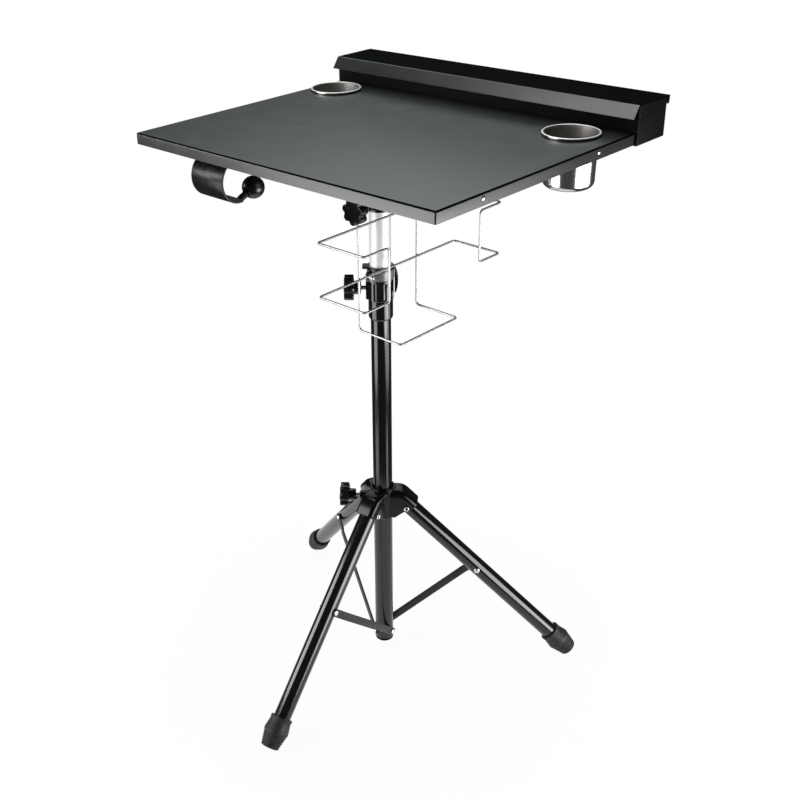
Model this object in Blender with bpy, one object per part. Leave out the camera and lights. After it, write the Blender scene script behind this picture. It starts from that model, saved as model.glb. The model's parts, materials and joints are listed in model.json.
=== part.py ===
"""Tattoo workstation: a steel tray with a lidded box, cups, a hook and a carton holder on a folding tripod.

Metres, +Z up. The tray's front edge faces -Y. The origin lies on the floor, in the middle of the footprint.
"""
import math

import bmesh
import bpy
from mathutils import Vector

for old in list(bpy.data.objects):
    bpy.data.objects.remove(old, do_unlink=True)

# Clearances
GAP = 0.0003            # between pieces that touch or slide on each other
ROOF_GAP = 0.0011       # from an open leg to the roof that stops it
SWEEP_GAP = 0.0006      # round the path of a leg's upper end

# Tray
TRAY_WIDTH = 0.508
TRAY_DEPTH = 0.387
TRAY_HEIGHT = 0.826     # top face above the floor, mast fully down
TRAY_RIM = 0.015
SHEET = 0.0012
FOLD_ROUND = 0.0009
RAIL_LEG = 0.009
RAIL_END = 0.006        # rail beyond its rivets
RIM_RIVET_SPAN = 0.226  # between the two rivets of a side rail
RIM_RIVET_RADIUS = 0.0016
RIM_RIVET_HEAD = 0.0030
RIM_RIVET_HEAD_HEIGHT = 0.0012

# Lidded box along the back edge
BOX_DEPTH = 0.066
BOX_RISE = 0.0335       # walls above the tray's top face
BOX_DROP = 0.0165       # floor below the tray's top face
BOX_OVERHANG = 0.003
LIP_REACH = 0.011
LIP_DROP = 0.0155
HINGE_RADIUS = 0.003
HINGE_PIN_RADIUS = 0.0014
HINGE_DROP = 0.0068     # pin below the lid's underside
HINGE_KNUCKLES = 5
HINGE_SLOT = 0.00105    # from the pin's axis back to the slots in the lid's flange

# Cups
CUP_RIM_RADIUS = 0.0377
CUP_RADIUS = 0.0342
CUP_TAPER = 0.0012
CUP_DEPTH = 0.069
CUP_WALL = 0.0009
CUP_CORNER = 0.009
CUP_LEFT_EDGE = 0.0023  # left cup's rim from the tray's left edge
CUP_RIGHT_EDGE = 0.0223
CUP_LIP_CLEARANCE = 0.0012  # a lifted cup's rim in front of the lid's lip

# Telescopic mast
MAST_RADIUS = 0.014
MAST_WALL = 0.0012
MAST_BOTTOM = 0.0155
PLUG_CAP = 0.0040
PLUG_LENGTH = 0.034
POLE_CLEARANCE = 0.010  # lowered pole above the mast's plug
POLE_WALL = 0.0012
POLE_PLUG_LENGTH = 0.018
SLEEVE_WALL = 0.0018
SLEEVE_SHOWS = 0.0780   # sleeve between the collar and the tray's socket

# Socket under the tray
SOCKET_PLATE_X = 0.110
SOCKET_PLATE_Y = 0.060
SOCKET_PLATE = 0.003
SOCKET_DROP = 0.1015    # lower lip below the tray's top face
SOCKET_WALL = 0.0016
SOCKET_FLARE = 0.011
SOCKET_CHAMFER = 0.0011
SOCKET_BOSS_RADIUS = 0.0068
SOCKET_BOSS_REACH = 0.0235

# Height collar on the mast's upper end
COLLAR_SKIRT = 0.0282
COLLAR_BODY = 0.0304
COLLAR_NECK = 0.0144
COLLAR_RIM = 0.0037
COLLAR_RIM_REACH = 0.0021  # rim beyond the neck
COLLAR_WALL = 0.0026
COLLAR_RIBS = 8
COLLAR_RIB_HEIGHT = 0.0010
COLLAR_SOCKET = 0.0075  # depth of the seat for the tray's sleeve
COLLAR_STEP = 0.0060    # mast's end below that seat
BAND_THICKNESS = 0.0014
BAND_GAP = 0.0060       # between the band's two ears
BAND_EAR = 0.0075
BAND_BOLT_RADIUS = 0.0020
BAND_BOLT_HEAD = 0.0034
BAND_AZIMUTH = math.radians(272.0)
LUG_WIDTH = 0.012
LUG_TIP = 0.0016        # thickness at the lug's lower end
LUG_BULGE = 0.0045      # its outer edge beyond a straight line
LUG_DROP = 0.0380       # its lower end below the rim's top
EAR_WIDTH = 0.014
EAR_HEIGHT = 0.0300     # below the band
EAR_REACH = 0.0030
WING_REACH = 0.0045     # rim's wing beyond the ear

# Clamp knobs
KNOB_RADIUS = 0.0180
KNOB_LOBES = 7
KNOB_LOBE_DEPTH = 0.0030
KNOB_HEAD = 0.0125
KNOB_BOSS_RADIUS = 0.0090
KNOB_BOSS = 0.010
KNOB_ROUND = 0.0015
STUD_RADIUS = 0.0030
STUD_SHOWS = 0.0070     # stud between a clamp's boss and its knob
TRAY_KNOB_AZIMUTH = math.radians(270.0)
COLLAR_KNOB_AZIMUTH = math.radians(220.0)

# Tripod hub
PIVOT_HEIGHT = 0.266
HUB_WALL = 0.0047
HUB_ABOVE = 0.0285      # hub's top above the leg pivots
HUB_BELOW = 0.0170
HUB_NECK = 0.0020
HOOD_WALL = 0.0028
CHEEK_WALL = 0.0025
CHEEK_GAP = 0.0005
CHEEK_RADIUS = 0.0070
CHEEK_END = math.radians(-117.0)
HOOD_ROUND = 0.0058
HUB_BOSS_RADIUS = 0.0070
HUB_BOSS_REACH = 0.0150
HUB_BOSS_LIFT = 0.0120  # knob's axis above the leg pivots

# Legs
LEG_AZIMUTH = math.radians(-82.6)
LEG_NAMES = ("front", "right", "back")
LEG_RADIUS = 0.0125
LEG_WALL = 0.0012
LEG_TILT = math.radians(44.5)
LEG_TOP = 0.004         # tube's end above its pivot
LEG_SIDE = 0.0040       # from a swinging leg's end to the hub's sleeve
RIVET_RADIUS = 0.0025
RIVET_HEAD = 0.0042
RIVET_HEAD_HEIGHT = 0.0020
PIN_CROWN = 0.6         # a pin head's flat top, as a share of its radius
PIN_EDGE = 0.4          # a pin head's upright edge, as a share of its height

# Rubber feet
FOOT_LENGTH = 0.045
FOOT_FLOOR = 0.012
FOOT_TIP_RADIUS = 0.0140
FOOT_BELLY_RADIUS = 0.0185
FOOT_BELLY = 0.025      # height of the widest ring above the tip
FOOT_NECK_WALL = 0.0034
FOOT_RING = 0.0045
FOOT_ROUND = 0.003
FOOT_GROOVES = 3
FOOT_GROOVE_DEPTH = 0.0006
FOOT_WEAR = 0.0015      # flat worn on the tip where it meets the floor

# Braces
BRACE_ALONG = 0.1527    # brace rivet from the leg pivot, along the leg
BRACE_HEIGHT = 0.0270   # brace bolt above the floor
BRACE_WIDTH = 0.012
BRACE_THICKNESS = 0.002
BRACE_SIDE = 0.0004     # between a brace and the tube beside it
BRACE_JOGGLE_START = 0.020
BRACE_JOGGLE = 0.007
BOLT_RADIUS = 0.0020
BOLT_HEAD = 0.0040
BOLT_DEPTH = 0.0060     # bolt's end inside the mast

# Hook under the front left corner
HOOK_WIDTH = 0.060
HOOK_RADIUS = 0.0297
HOOK_STRAP = 0.003
HOOK_DROP = 0.0470      # centre of its bow below the tray's top face
HOOK_BACK = 0.0450      # centre of its bow behind the tray's front edge
HOOK_LEFT = 0.0890      # its left edge from the tray's left edge
HOOK_START = math.radians(135.0)
HOOK_END = math.radians(280.0)
HOOK_TAB = 0.022
STEM_RADIUS = 0.0045
STEM_LENGTH = 0.0115
STEM_RISE = math.radians(23.0)
STEM_INSET = 0.008      # stem's axis from the strap's right edge
BALL_RADIUS = 0.0150

# Wire carton holder
WIRE_RADIUS = 0.0015
WIRE_BEND = 0.005
HOLDER_WIDTH = 0.0775
HOLDER_LENGTH = 0.266
HOLDER_BACK = 0.114     # back end behind the mast's axis
HOLDER_DROP = 0.0975    # upper rail below the tray's top face
HOLDER_HEIGHT = 0.071
HOLDER_RETURN = 0.044
HOLDER_SIDE = 0.0145    # rails from the collar's rim
STIRRUP_DEPTH = 0.143
STIRRUP_LENGTH = 0.114
STIRRUP_WIDTH = 0.0713
STIRRUP_SIDE = 0.0065   # back leg of the stirrup from the socket's plate
STIRRUP_FOOT = 0.024

# Facets
TUBE_SIDES = 20
PIN_SIDES = 8
FOOT_SIDES = 16
CUP_SIDES = 24
KNOB_SIDES = 28
COLLAR_SIDES = 32
WIRE_STEPS = 3          # on each bend of a wire
ROUND_STEPS = 4         # on the socket's flare and a cheek's round edge
END_STEPS = 6           # on a brace's round end
LUG_STEPS = 8
BALL_STEPS = 8
BOW_STEPS = 14          # on the hook's bow
MERGE = 1e-7

# Sizes that follow from the ones above
POLE_RADIUS = MAST_RADIUS - MAST_WALL - GAP
SLEEVE_BORE = POLE_RADIUS + GAP
SLEEVE_RADIUS = SLEEVE_BORE + SLEEVE_WALL
SOCKET_BORE = SLEEVE_RADIUS + GAP
SOCKET_RADIUS = SOCKET_BORE + SOCKET_WALL
COLLAR_BORE = MAST_RADIUS + GAP
COLLAR_RADIUS = COLLAR_BORE + COLLAR_WALL
SOCKET_LIP = TRAY_HEIGHT - SOCKET_DROP
COLLAR_TOP = SOCKET_LIP - SLEEVE_SHOWS
COLLAR_NECK_TOP = COLLAR_TOP - COLLAR_RIM
COLLAR_NECK_BOTTOM = COLLAR_NECK_TOP - COLLAR_NECK
COLLAR_BOTTOM = COLLAR_NECK_BOTTOM - COLLAR_BODY - COLLAR_SKIRT
COLLAR_RIM_RADIUS = COLLAR_RADIUS + COLLAR_RIM_REACH
SLEEVE_SEAT = COLLAR_TOP - COLLAR_SOCKET
MAST_TOP = SLEEVE_SEAT - COLLAR_STEP
HUB_RADIUS = MAST_RADIUS + GAP + HUB_WALL
HUB_TOP = PIVOT_HEIGHT + HUB_ABOVE
HUB_BOTTOM = PIVOT_HEIGHT - HUB_BELOW
LEG_SWEEP = math.hypot(LEG_TOP, LEG_RADIUS)
PIVOT_RADIUS = HUB_RADIUS + LEG_SIDE + LEG_SWEEP
CHEEK_INNER = LEG_RADIUS + CHEEK_GAP
CHEEK_OUTER = CHEEK_INNER + CHEEK_WALL
HUB_KNOB_AZIMUTH = LEG_AZIMUTH - math.pi / len(LEG_NAMES)
SHEET_UNDER = TRAY_HEIGHT - SHEET
PLATE_TOP = SHEET_UNDER - GAP
PLATE_UNDER = PLATE_TOP - SOCKET_PLATE
BOX_FRONT = TRAY_DEPTH / 2 + GAP
BOX_BACK = BOX_FRONT + BOX_DEPTH
BOX_HALF = TRAY_WIDTH / 2 + BOX_OVERHANG
BOX_TOP = TRAY_HEIGHT + BOX_RISE
BOX_BOTTOM = TRAY_HEIGHT - BOX_DROP
LID_UNDER = BOX_TOP + GAP
LIP_SLOPE = math.hypot(LIP_REACH, LIP_DROP)
LIP_ACROSS = SHEET * LIP_DROP / LIP_SLOPE  # level and upright parts of the lip's thickness
LIP_DOWN = SHEET * LIP_REACH / LIP_SLOPE
LID_CREASE = BOX_FRONT - GAP
LID_BROW = LID_CREASE - LIP_ACROSS + (SHEET - LIP_DOWN) * LIP_REACH / LIP_DROP
LIP_FRONT = LID_BROW - LIP_REACH
CUP_LEFT_X = CUP_LEFT_EDGE + CUP_RIM_RADIUS - TRAY_WIDTH / 2
CUP_RIGHT_X = TRAY_WIDTH / 2 - CUP_RIGHT_EDGE - CUP_RIM_RADIUS
CUP_PLACES = (("left", CUP_LEFT_X), ("right", CUP_RIGHT_X))
CUP_Y = LIP_FRONT - CUP_LIP_CLEARANCE - CUP_RIM_RADIUS


def foot_outline():
    """Outer (radius, height above the tip) points of a foot, from the middle of its tip up to its neck."""
    points = [(0.0, 0.0)]
    for step in range(3):
        turn = step * math.pi / 4
        inset = FOOT_ROUND * (1 - math.sin(turn))
        points.append((FOOT_TIP_RADIUS - inset, FOOT_ROUND * (1 - math.cos(turn))))
    slope = (FOOT_BELLY_RADIUS - FOOT_TIP_RADIUS) / (FOOT_BELLY - FOOT_ROUND)
    pitch = (FOOT_BELLY - FOOT_ROUND) / (2 * FOOT_GROOVES + 2)
    for groove in range(FOOT_GROOVES):
        height = FOOT_ROUND + pitch * (2 * groove + 1)
        points.append((FOOT_TIP_RADIUS + slope * (height - FOOT_ROUND), height))
        height = height + pitch / 2
        points.append((FOOT_TIP_RADIUS + slope * (height - FOOT_ROUND) - FOOT_GROOVE_DEPTH, height))
        height = height + pitch / 2
        points.append((FOOT_TIP_RADIUS + slope * (height - FOOT_ROUND), height))
    neck = LEG_RADIUS + GAP + FOOT_NECK_WALL
    points.append((FOOT_BELLY_RADIUS, FOOT_BELLY))
    points.append((neck - FOOT_GROOVE_DEPTH, FOOT_LENGTH - FOOT_RING))
    points.append((neck, FOOT_LENGTH - FOOT_RING + FOOT_GROOVE_DEPTH))
    points.append((neck, FOOT_LENGTH))
    return points


FOOT_LOWEST = max(r * math.sin(LEG_TILT) - a * math.cos(LEG_TILT) for r, a in foot_outline())
LEG_REACH = (PIVOT_HEIGHT + FOOT_WEAR - FOOT_LOWEST) / math.cos(LEG_TILT)
FOOT_SPREAD = PIVOT_RADIUS + max(
    (LEG_REACH - a) * math.sin(LEG_TILT) + r * math.cos(LEG_TILT) for r, a in foot_outline()
)
LEG_AZIMUTHS = [LEG_AZIMUTH + turn * 2 * math.pi / len(LEG_NAMES) for turn in range(len(LEG_NAMES))]
WEST = min(-BOX_HALF, min(FOOT_SPREAD * math.cos(azimuth) for azimuth in LEG_AZIMUTHS))
EAST = max(BOX_HALF, max(FOOT_SPREAD * math.cos(azimuth) for azimuth in LEG_AZIMUTHS))
SOUTH = min(-TRAY_DEPTH / 2, min(FOOT_SPREAD * math.sin(azimuth) for azimuth in LEG_AZIMUTHS))
NORTH = BOX_BACK + GAP + 2 * HINGE_RADIUS
MAST_X = -(WEST + EAST) / 2
MAST_Y = -(SOUTH + NORTH) / 2


def finish(name, colour, roughness, metallic):
    material = bpy.data.materials.new(name)
    material.use_nodes = True
    shader = material.node_tree.nodes["Principled BSDF"]
    shader.inputs["Base Color"].default_value = (*colour, 1.0)
    shader.inputs["Roughness"].default_value = roughness
    shader.inputs["Metallic"].default_value = metallic
    return material


FINISHES = {
    "satin_coat": ((0.055, 0.058, 0.060), 0.42, 0.0),
    "box_coat": ((0.020, 0.021, 0.022), 0.45, 0.0),
    "gloss_coat": ((0.012, 0.012, 0.013), 0.16, 0.0),
    "brace_coat": ((0.045, 0.047, 0.046), 0.50, 0.0),
    "moulding": ((0.016, 0.016, 0.017), 0.28, 0.0),
    "rubber": ((0.040, 0.041, 0.042), 0.75, 0.0),
    "chrome": ((0.80, 0.80, 0.80), 0.10, 1.0),
    "steel": ((0.62, 0.61, 0.59), 0.25, 1.0),
    "zinc": ((0.74, 0.74, 0.72), 0.30, 1.0),
}


def empty(name, parent, location, rotation=(0.0, 0.0, 0.0)):
    marker = bpy.data.objects.new(name, None)
    bpy.context.scene.collection.objects.link(marker)
    marker.parent = parent
    marker.location = location
    marker.rotation_euler = rotation
    return marker


STAND = empty("stand", None, (MAST_X, MAST_Y, 0.0))


def add(name, data, coat, parent, location=(0.0, 0.0, 0.0), rotation=(0.0, 0.0, 0.0)):
    """Puts a mesh or a curve into the scene as one piece; coat None makes a cutter or a joining shape."""
    piece = bpy.data.objects.new(name, data)
    bpy.context.scene.collection.objects.link(piece)
    piece.parent = parent
    piece.location = location
    piece.rotation_euler = rotation
    if coat is None:
        piece.hide_render = True
        piece.display_type = "WIRE"
    else:
        data.materials.append(finish(name + "_" + coat, *FINISHES[coat]))
    return piece


def mesh_of(bm, name, sharp=math.radians(35.0)):
    bmesh.ops.remove_doubles(bm, verts=bm.verts[:], dist=MERGE)
    bmesh.ops.recalc_face_normals(bm, faces=bm.faces[:])
    mesh = bpy.data.meshes.new(name)
    bm.to_mesh(mesh)
    bm.free()
    mesh.shade_smooth()
    mesh.set_sharp_from_angle(angle=sharp)
    return mesh


def spun(name, profile, sides, ring=False):
    """Turns (radius, height) points round Z; a ring's profile closes on itself, others end on the axis."""
    bm = bmesh.new()
    points = [bm.verts.new((radius, 0.0, height)) for radius, height in profile]
    edges = [bm.edges.new(pair) for pair in zip(points, points[1:])]
    if ring:
        edges.append(bm.edges.new((points[-1], points[0])))
    bmesh.ops.spin(
        bm, geom=points + edges, cent=(0, 0, 0), axis=(0, 0, 1),
        angle=2 * math.pi, steps=sides, use_merge=True,
    )
    return mesh_of(bm, name)


def tube(name, outer, inner, low, high, sides=TUBE_SIDES):
    return spun(name, [(inner, low), (outer, low), (outer, high), (inner, high)], sides, ring=True)


def rod(name, radius, low, high, sides=PIN_SIDES):
    return spun(name, [(0.0, low), (radius, low), (radius, high), (0.0, high)], sides)


def lofted(name, rings, hollow=False):
    """Skins rings of equal point counts; a hollow form joins its last ring to its first, others get caps."""
    bm = bmesh.new()
    loops = [[bm.verts.new(point) for point in ring] for ring in rings]
    pairs = list(zip(loops, loops[1:]))
    if hollow:
        pairs.append((loops[-1], loops[0]))
    for lower, upper in pairs:
        count = len(lower)
        for step in range(count):
            ahead = (step + 1) % count
            bm.faces.new((lower[step], lower[ahead], upper[ahead], upper[step]))
    if not hollow:
        bm.faces.new(loops[0])
        bm.faces.new(loops[-1])
    return mesh_of(bm, name)


def slab(name, low, high, bevel=0.0):
    bm = bmesh.new()
    bmesh.ops.create_cube(bm, size=1.0)
    for vertex in bm.verts:
        for axis in range(3):
            vertex.co[axis] = low[axis] if vertex.co[axis] < 0 else high[axis]
    if bevel:
        bmesh.ops.bevel(bm, geom=bm.edges[:], offset=bevel, segments=1, affect="EDGES", profile=0.5)
    return mesh_of(bm, name)


def extruded(name, outline, along, low, high):
    """Extrudes a closed outline, drawn square to the axis along ("X" or "Y"), from low to high."""
    bm = bmesh.new()
    if along == "X":
        points = [bm.verts.new((low, first, second)) for first, second in outline]
        step = Vector((high - low, 0.0, 0.0))
    else:
        points = [bm.verts.new((first, low, second)) for first, second in outline]
        step = Vector((0.0, high - low, 0.0))
    face = bm.faces.new(points)
    grown = bmesh.ops.extrude_face_region(bm, geom=[face])
    moved = [item for item in grown["geom"] if isinstance(item, bmesh.types.BMVert)]
    bmesh.ops.translate(bm, verts=moved, vec=step)
    return mesh_of(bm, name)


def arc(centre, radius, start, end, steps):
    """Points on a circle from one angle to another, both ends included."""
    turns = [start + (end - start) * step / steps for step in range(steps + 1)]
    return [(centre[0] + radius * math.cos(turn), centre[1] + radius * math.sin(turn)) for turn in turns]


def cut(piece, tool, operation="DIFFERENCE"):
    boolean = piece.modifiers.new(operation.lower() + "_" + tool.name, "BOOLEAN")
    boolean.operation = operation
    boolean.object = tool
    boolean.solver = "EXACT"


def fuse(piece, tool):
    cut(piece, tool, "UNION")


def radial(name, azimuth, height):
    """An empty on the mast's axis whose Z points outwards at an azimuth."""
    return empty(name, STAND, (0.0, 0.0, height), (0.0, math.pi / 2, azimuth))


ACROSS = (-math.pi / 2, 0.0, 0.0)


def pin_profile(shank, head, head_height, low, high, tail_head=False):
    """A headed pin along Z: its head stands on high, with a second one under low where it is riveted over."""
    crown = head * PIN_CROWN
    edge = head_height * PIN_EDGE
    profile = [(0.0, low)]
    if tail_head:
        profile = [(0.0, low - head_height), (crown, low - head_height), (head, low - edge), (head, low)]
    profile += [(shank, low), (shank, high), (head, high), (head, high + edge)]
    profile += [(crown, high + head_height), (0.0, high + head_height)]
    return profile


def make_tray():
    half_x = TRAY_WIDTH / 2
    half_y = TRAY_DEPTH / 2
    rim_under = TRAY_HEIGHT - TRAY_RIM
    pan = slab("tray_pan", (-half_x, -half_y, rim_under), (half_x, half_y, TRAY_HEIGHT), FOLD_ROUND)
    pan = add("tray_pan", pan, "satin_coat", STAND)
    hollow = slab(
        "tray_hollow", (SHEET - half_x, SHEET - half_y, rim_under - TRAY_RIM),
        (half_x - SHEET, half_y - SHEET, SHEET_UNDER),
    )
    cut(pan, add("tray_hollow", hollow, None, STAND))
    for name, place in CUP_PLACES:
        hole = rod("cup_hole_" + name, CUP_RADIUS + GAP, rim_under, TRAY_HEIGHT + TRAY_RIM, CUP_SIDES)
        cut(pan, add("cup_hole_" + name, hole, None, STAND, (place, CUP_Y, 0.0)))
    make_side_rail(pan, -1, "left")
    make_side_rail(pan, 1, "right")


def make_side_rail(pan, side, name):
    """An angle inside one side rim, held by two rivets whose heads show outside."""
    face = TRAY_WIDTH / 2 - SHEET - GAP
    half = RIM_RIVET_SPAN / 2 + RAIL_END
    top = SHEET_UNDER - GAP
    middle = top - SHEET - 2 * GAP - RIM_RIVET_HEAD
    outline = [
        (face, top), (face - RAIL_LEG, top), (face - RAIL_LEG, top - SHEET),
        (face - SHEET, top - SHEET), (face - SHEET, top - RAIL_LEG), (face, top - RAIL_LEG),
    ]
    outline = [(side * across, height) for across, height in outline]
    rail = extruded("side_rail_" + name, outline, "Y", -half, half)
    rail = add("side_rail_" + name, rail, "satin_coat", STAND)
    turn = (0.0, side * math.pi / 2, 0.0)
    tail = face - SHEET - GAP
    seat = TRAY_WIDTH / 2 + GAP
    profile = pin_profile(RIM_RIVET_RADIUS, RIM_RIVET_HEAD, RIM_RIVET_HEAD_HEIGHT, tail, seat, True)
    for end, place in ((-1, "front"), (1, "back")):
        label = "rim_rivet_" + name + "_" + place
        spot = (0.0, end * RIM_RIVET_SPAN / 2, middle)
        add(label, spun(label, profile, PIN_SIDES), "zinc", STAND, spot, turn)
        hole = rod(label + "_hole", RIM_RIVET_RADIUS + GAP, face - RAIL_LEG, face + RAIL_LEG)
        hole = add(label + "_hole", hole, None, STAND, spot, turn)
        cut(pan, hole)
        cut(rail, hole)


def make_box():
    axis_y = BOX_BACK + GAP + HINGE_RADIUS
    axis_z = LID_UNDER - HINGE_DROP
    shell = slab("box_shell", (-BOX_HALF, BOX_FRONT, BOX_BOTTOM), (BOX_HALF, BOX_BACK, BOX_TOP))
    shell = add("box_shell", shell, "box_coat", STAND)
    room = slab(
        "box_room", (SHEET - BOX_HALF, BOX_FRONT + SHEET, BOX_BOTTOM + SHEET),
        (BOX_HALF - SHEET, BOX_BACK - SHEET, BOX_TOP + BOX_RISE),
    )
    cut(shell, add("box_room", room, None, STAND))
    hinge = empty("lid_axis", STAND, (0.0, axis_y, axis_z))
    lid = add("box_lid", lid_mesh(axis_y, axis_z), "box_coat", hinge)
    bore = rod("hinge_bore", HINGE_PIN_RADIUS + GAP, -BOX_HALF - SHEET, BOX_HALF + SHEET)
    bore = add("hinge_bore", bore, None, hinge, rotation=(0.0, math.pi / 2, 0.0))
    length = 2 * BOX_HALF / HINGE_KNUCKLES
    for knuckle in range(HINGE_KNUCKLES):
        low = -BOX_HALF + knuckle * length
        label = "knuckle_" + str(knuckle)
        trim = GAP if knuckle % 2 else 0.0
        barrel = rod(label, HINGE_RADIUS, low + trim, low + length - trim, PIN_SIDES)
        barrel = add(label, barrel, None, hinge, rotation=(0.0, math.pi / 2, 0.0))
        fuse(lid if knuckle % 2 else shell, barrel)
        if knuckle % 2 == 0:
            leaf = slab(
                label + "_leaf", (low, -HINGE_RADIUS - GAP - SHEET / 2, -HINGE_RADIUS),
                (low + length, 0.0, -HINGE_RADIUS / 2),
            )
            fuse(shell, add(label + "_leaf", leaf, None, hinge))
            slot = slab(
                label + "_slot", (low - GAP, HINGE_SLOT, -HINGE_RADIUS - GAP),
                (low + length + GAP, 2 * HINGE_RADIUS, HINGE_RADIUS + GAP),
            )
            cut(lid, add(label + "_slot", slot, None, hinge))
    cut(lid, bore)
    cut(shell, bore)
    pin = rod("lid_hinge_pin", HINGE_PIN_RADIUS, -BOX_HALF, BOX_HALF)
    add("lid_hinge_pin", pin, "zinc", hinge, rotation=(0.0, math.pi / 2, 0.0))


def lid_mesh(axis_y, axis_z):
    """Top sheet, drawn from the hinge's axis, with a sloping lip in front and a flange down to the hinge."""
    top = LID_UNDER + SHEET
    back = axis_y + HINGE_RADIUS
    outline = [
        (back, axis_z), (back, top), (LID_BROW, top), (LIP_FRONT, top - LIP_DROP),
        (LIP_FRONT + LIP_ACROSS, top - LIP_DROP - LIP_DOWN), (LID_CREASE, LID_UNDER),
        (back - SHEET, LID_UNDER), (back - SHEET, axis_z),
    ]
    outline = [(y - axis_y, z - axis_z) for y, z in outline]
    return extruded("box_lid", outline, "X", -BOX_HALF, BOX_HALF)


def make_cups():
    bead = (CUP_RIM_RADIUS - CUP_RADIUS) / 2
    seat = GAP + bead
    low = seat - CUP_DEPTH
    foot = CUP_RADIUS - CUP_TAPER
    outside = [(0.0, low), (foot - CUP_CORNER, low)]
    outside += arc((foot - CUP_CORNER, low + CUP_CORNER), CUP_CORNER, -math.pi / 3, 0.0, 2)
    outside += [(CUP_RADIUS, GAP)]
    outside += arc((CUP_RADIUS + bead, seat), bead, -math.pi / 2, math.pi / 2, 3)
    inside = [(CUP_RADIUS - CUP_WALL, seat + bead / 2), (foot - CUP_WALL, low + CUP_CORNER)]
    inside += arc((foot - CUP_CORNER, low + CUP_CORNER), CUP_CORNER - CUP_WALL, -math.pi / 4, -math.pi / 2, 1)
    inside += [(0.0, low + CUP_WALL)]
    for name, place in CUP_PLACES:
        cup = spun("cup_" + name, outside + inside, CUP_SIDES)
        add("cup_" + name, cup, "steel", STAND, (place, CUP_Y, TRAY_HEIGHT))


def make_mast():
    """Outer tube with its end plug, the sliding pole and the tray's chromed sleeve."""
    bore = MAST_RADIUS - MAST_WALL
    mast = add("mast_tube", tube("mast_tube", MAST_RADIUS, bore, MAST_BOTTOM, MAST_TOP), "gloss_coat", STAND)
    cap = MAST_BOTTOM - GAP
    shoulder = PLUG_CAP / 2
    fit = bore - GAP
    plug = [
        (0.0, cap - PLUG_CAP), (MAST_RADIUS - shoulder, cap - PLUG_CAP), (MAST_RADIUS, cap - shoulder),
        (MAST_RADIUS, cap), (fit, cap), (fit, cap + PLUG_LENGTH), (0.0, cap + PLUG_LENGTH),
    ]
    plug = add("mast_plug", spun("mast_plug", plug, TUBE_SIDES), "moulding", STAND)
    pole_low = cap + PLUG_LENGTH + POLE_CLEARANCE
    sleeve_top = PLATE_UNDER - GAP
    sleeve_low = SLEEVE_SEAT + GAP
    pole_bore = POLE_RADIUS - POLE_WALL
    lift = empty("pole_axis", STAND, (0.0, 0.0, 0.0))
    pole = tube("pole", POLE_RADIUS, pole_bore, pole_low, sleeve_top - SLEEVE_WALL)
    add("pole", pole, "chrome", lift)
    stop = pole_low - GAP
    stopper = [
        (0.0, stop - PLUG_CAP), (POLE_RADIUS - shoulder, stop - PLUG_CAP), (POLE_RADIUS, stop - shoulder),
        (POLE_RADIUS, stop), (pole_bore - GAP, stop), (pole_bore - GAP, stop + POLE_PLUG_LENGTH),
        (0.0, stop + POLE_PLUG_LENGTH),
    ]
    add("pole_plug", spun("pole_plug", stopper, TUBE_SIDES), "moulding", lift)
    sleeve = tube("pole_sleeve", SLEEVE_RADIUS, SLEEVE_BORE, sleeve_low, sleeve_top)
    return mast, plug, add("pole_sleeve", sleeve, "chrome", STAND)


def make_socket(sleeve):
    """Plate and flared boss under the tray; a threaded boss near its lower lip takes the clamp knob."""
    flare = PLATE_UNDER - SOCKET_FLARE
    wide = SOCKET_RADIUS + SOCKET_FLARE
    root = PLATE_TOP - SOCKET_PLATE / 2
    profile = [(0.0, root), (wide, root), (wide, PLATE_UNDER)]
    profile += arc((wide, flare), SOCKET_FLARE, math.pi / 2, math.pi, ROUND_STEPS)[1:]
    profile += [
        (SOCKET_RADIUS, SOCKET_LIP + SOCKET_CHAMFER), (SOCKET_RADIUS - SOCKET_CHAMFER, SOCKET_LIP),
        (0.0, SOCKET_LIP),
    ]
    boss = spun("socket_boss", profile, TUBE_SIDES)
    plate = slab(
        "tray_socket", (-SOCKET_PLATE_X / 2, -SOCKET_PLATE_Y / 2, PLATE_UNDER),
        (SOCKET_PLATE_X / 2, SOCKET_PLATE_Y / 2, PLATE_TOP),
    )
    socket = add("tray_socket", plate, "gloss_coat", STAND)
    fuse(socket, add("socket_boss", boss, None, STAND))
    height = SOCKET_LIP + KNOB_BOSS_RADIUS
    axis = radial("tray_knob_axis", TRAY_KNOB_AZIMUTH, height)
    nut = rod("socket_nut", SOCKET_BOSS_RADIUS, MAST_RADIUS, SOCKET_BOSS_REACH, TUBE_SIDES // 2)
    fuse(socket, add("socket_nut", nut, None, axis))
    bore = rod("socket_bore", SOCKET_BORE, SOCKET_LIP - SOCKET_WALL, PLATE_UNDER, TUBE_SIDES)
    cut(socket, add("socket_bore", bore, None, STAND))
    hole = make_knob("tray", axis, POLE_RADIUS + GAP, SOCKET_BOSS_REACH)
    cut(socket, hole)
    cut(sleeve, hole)


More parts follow.
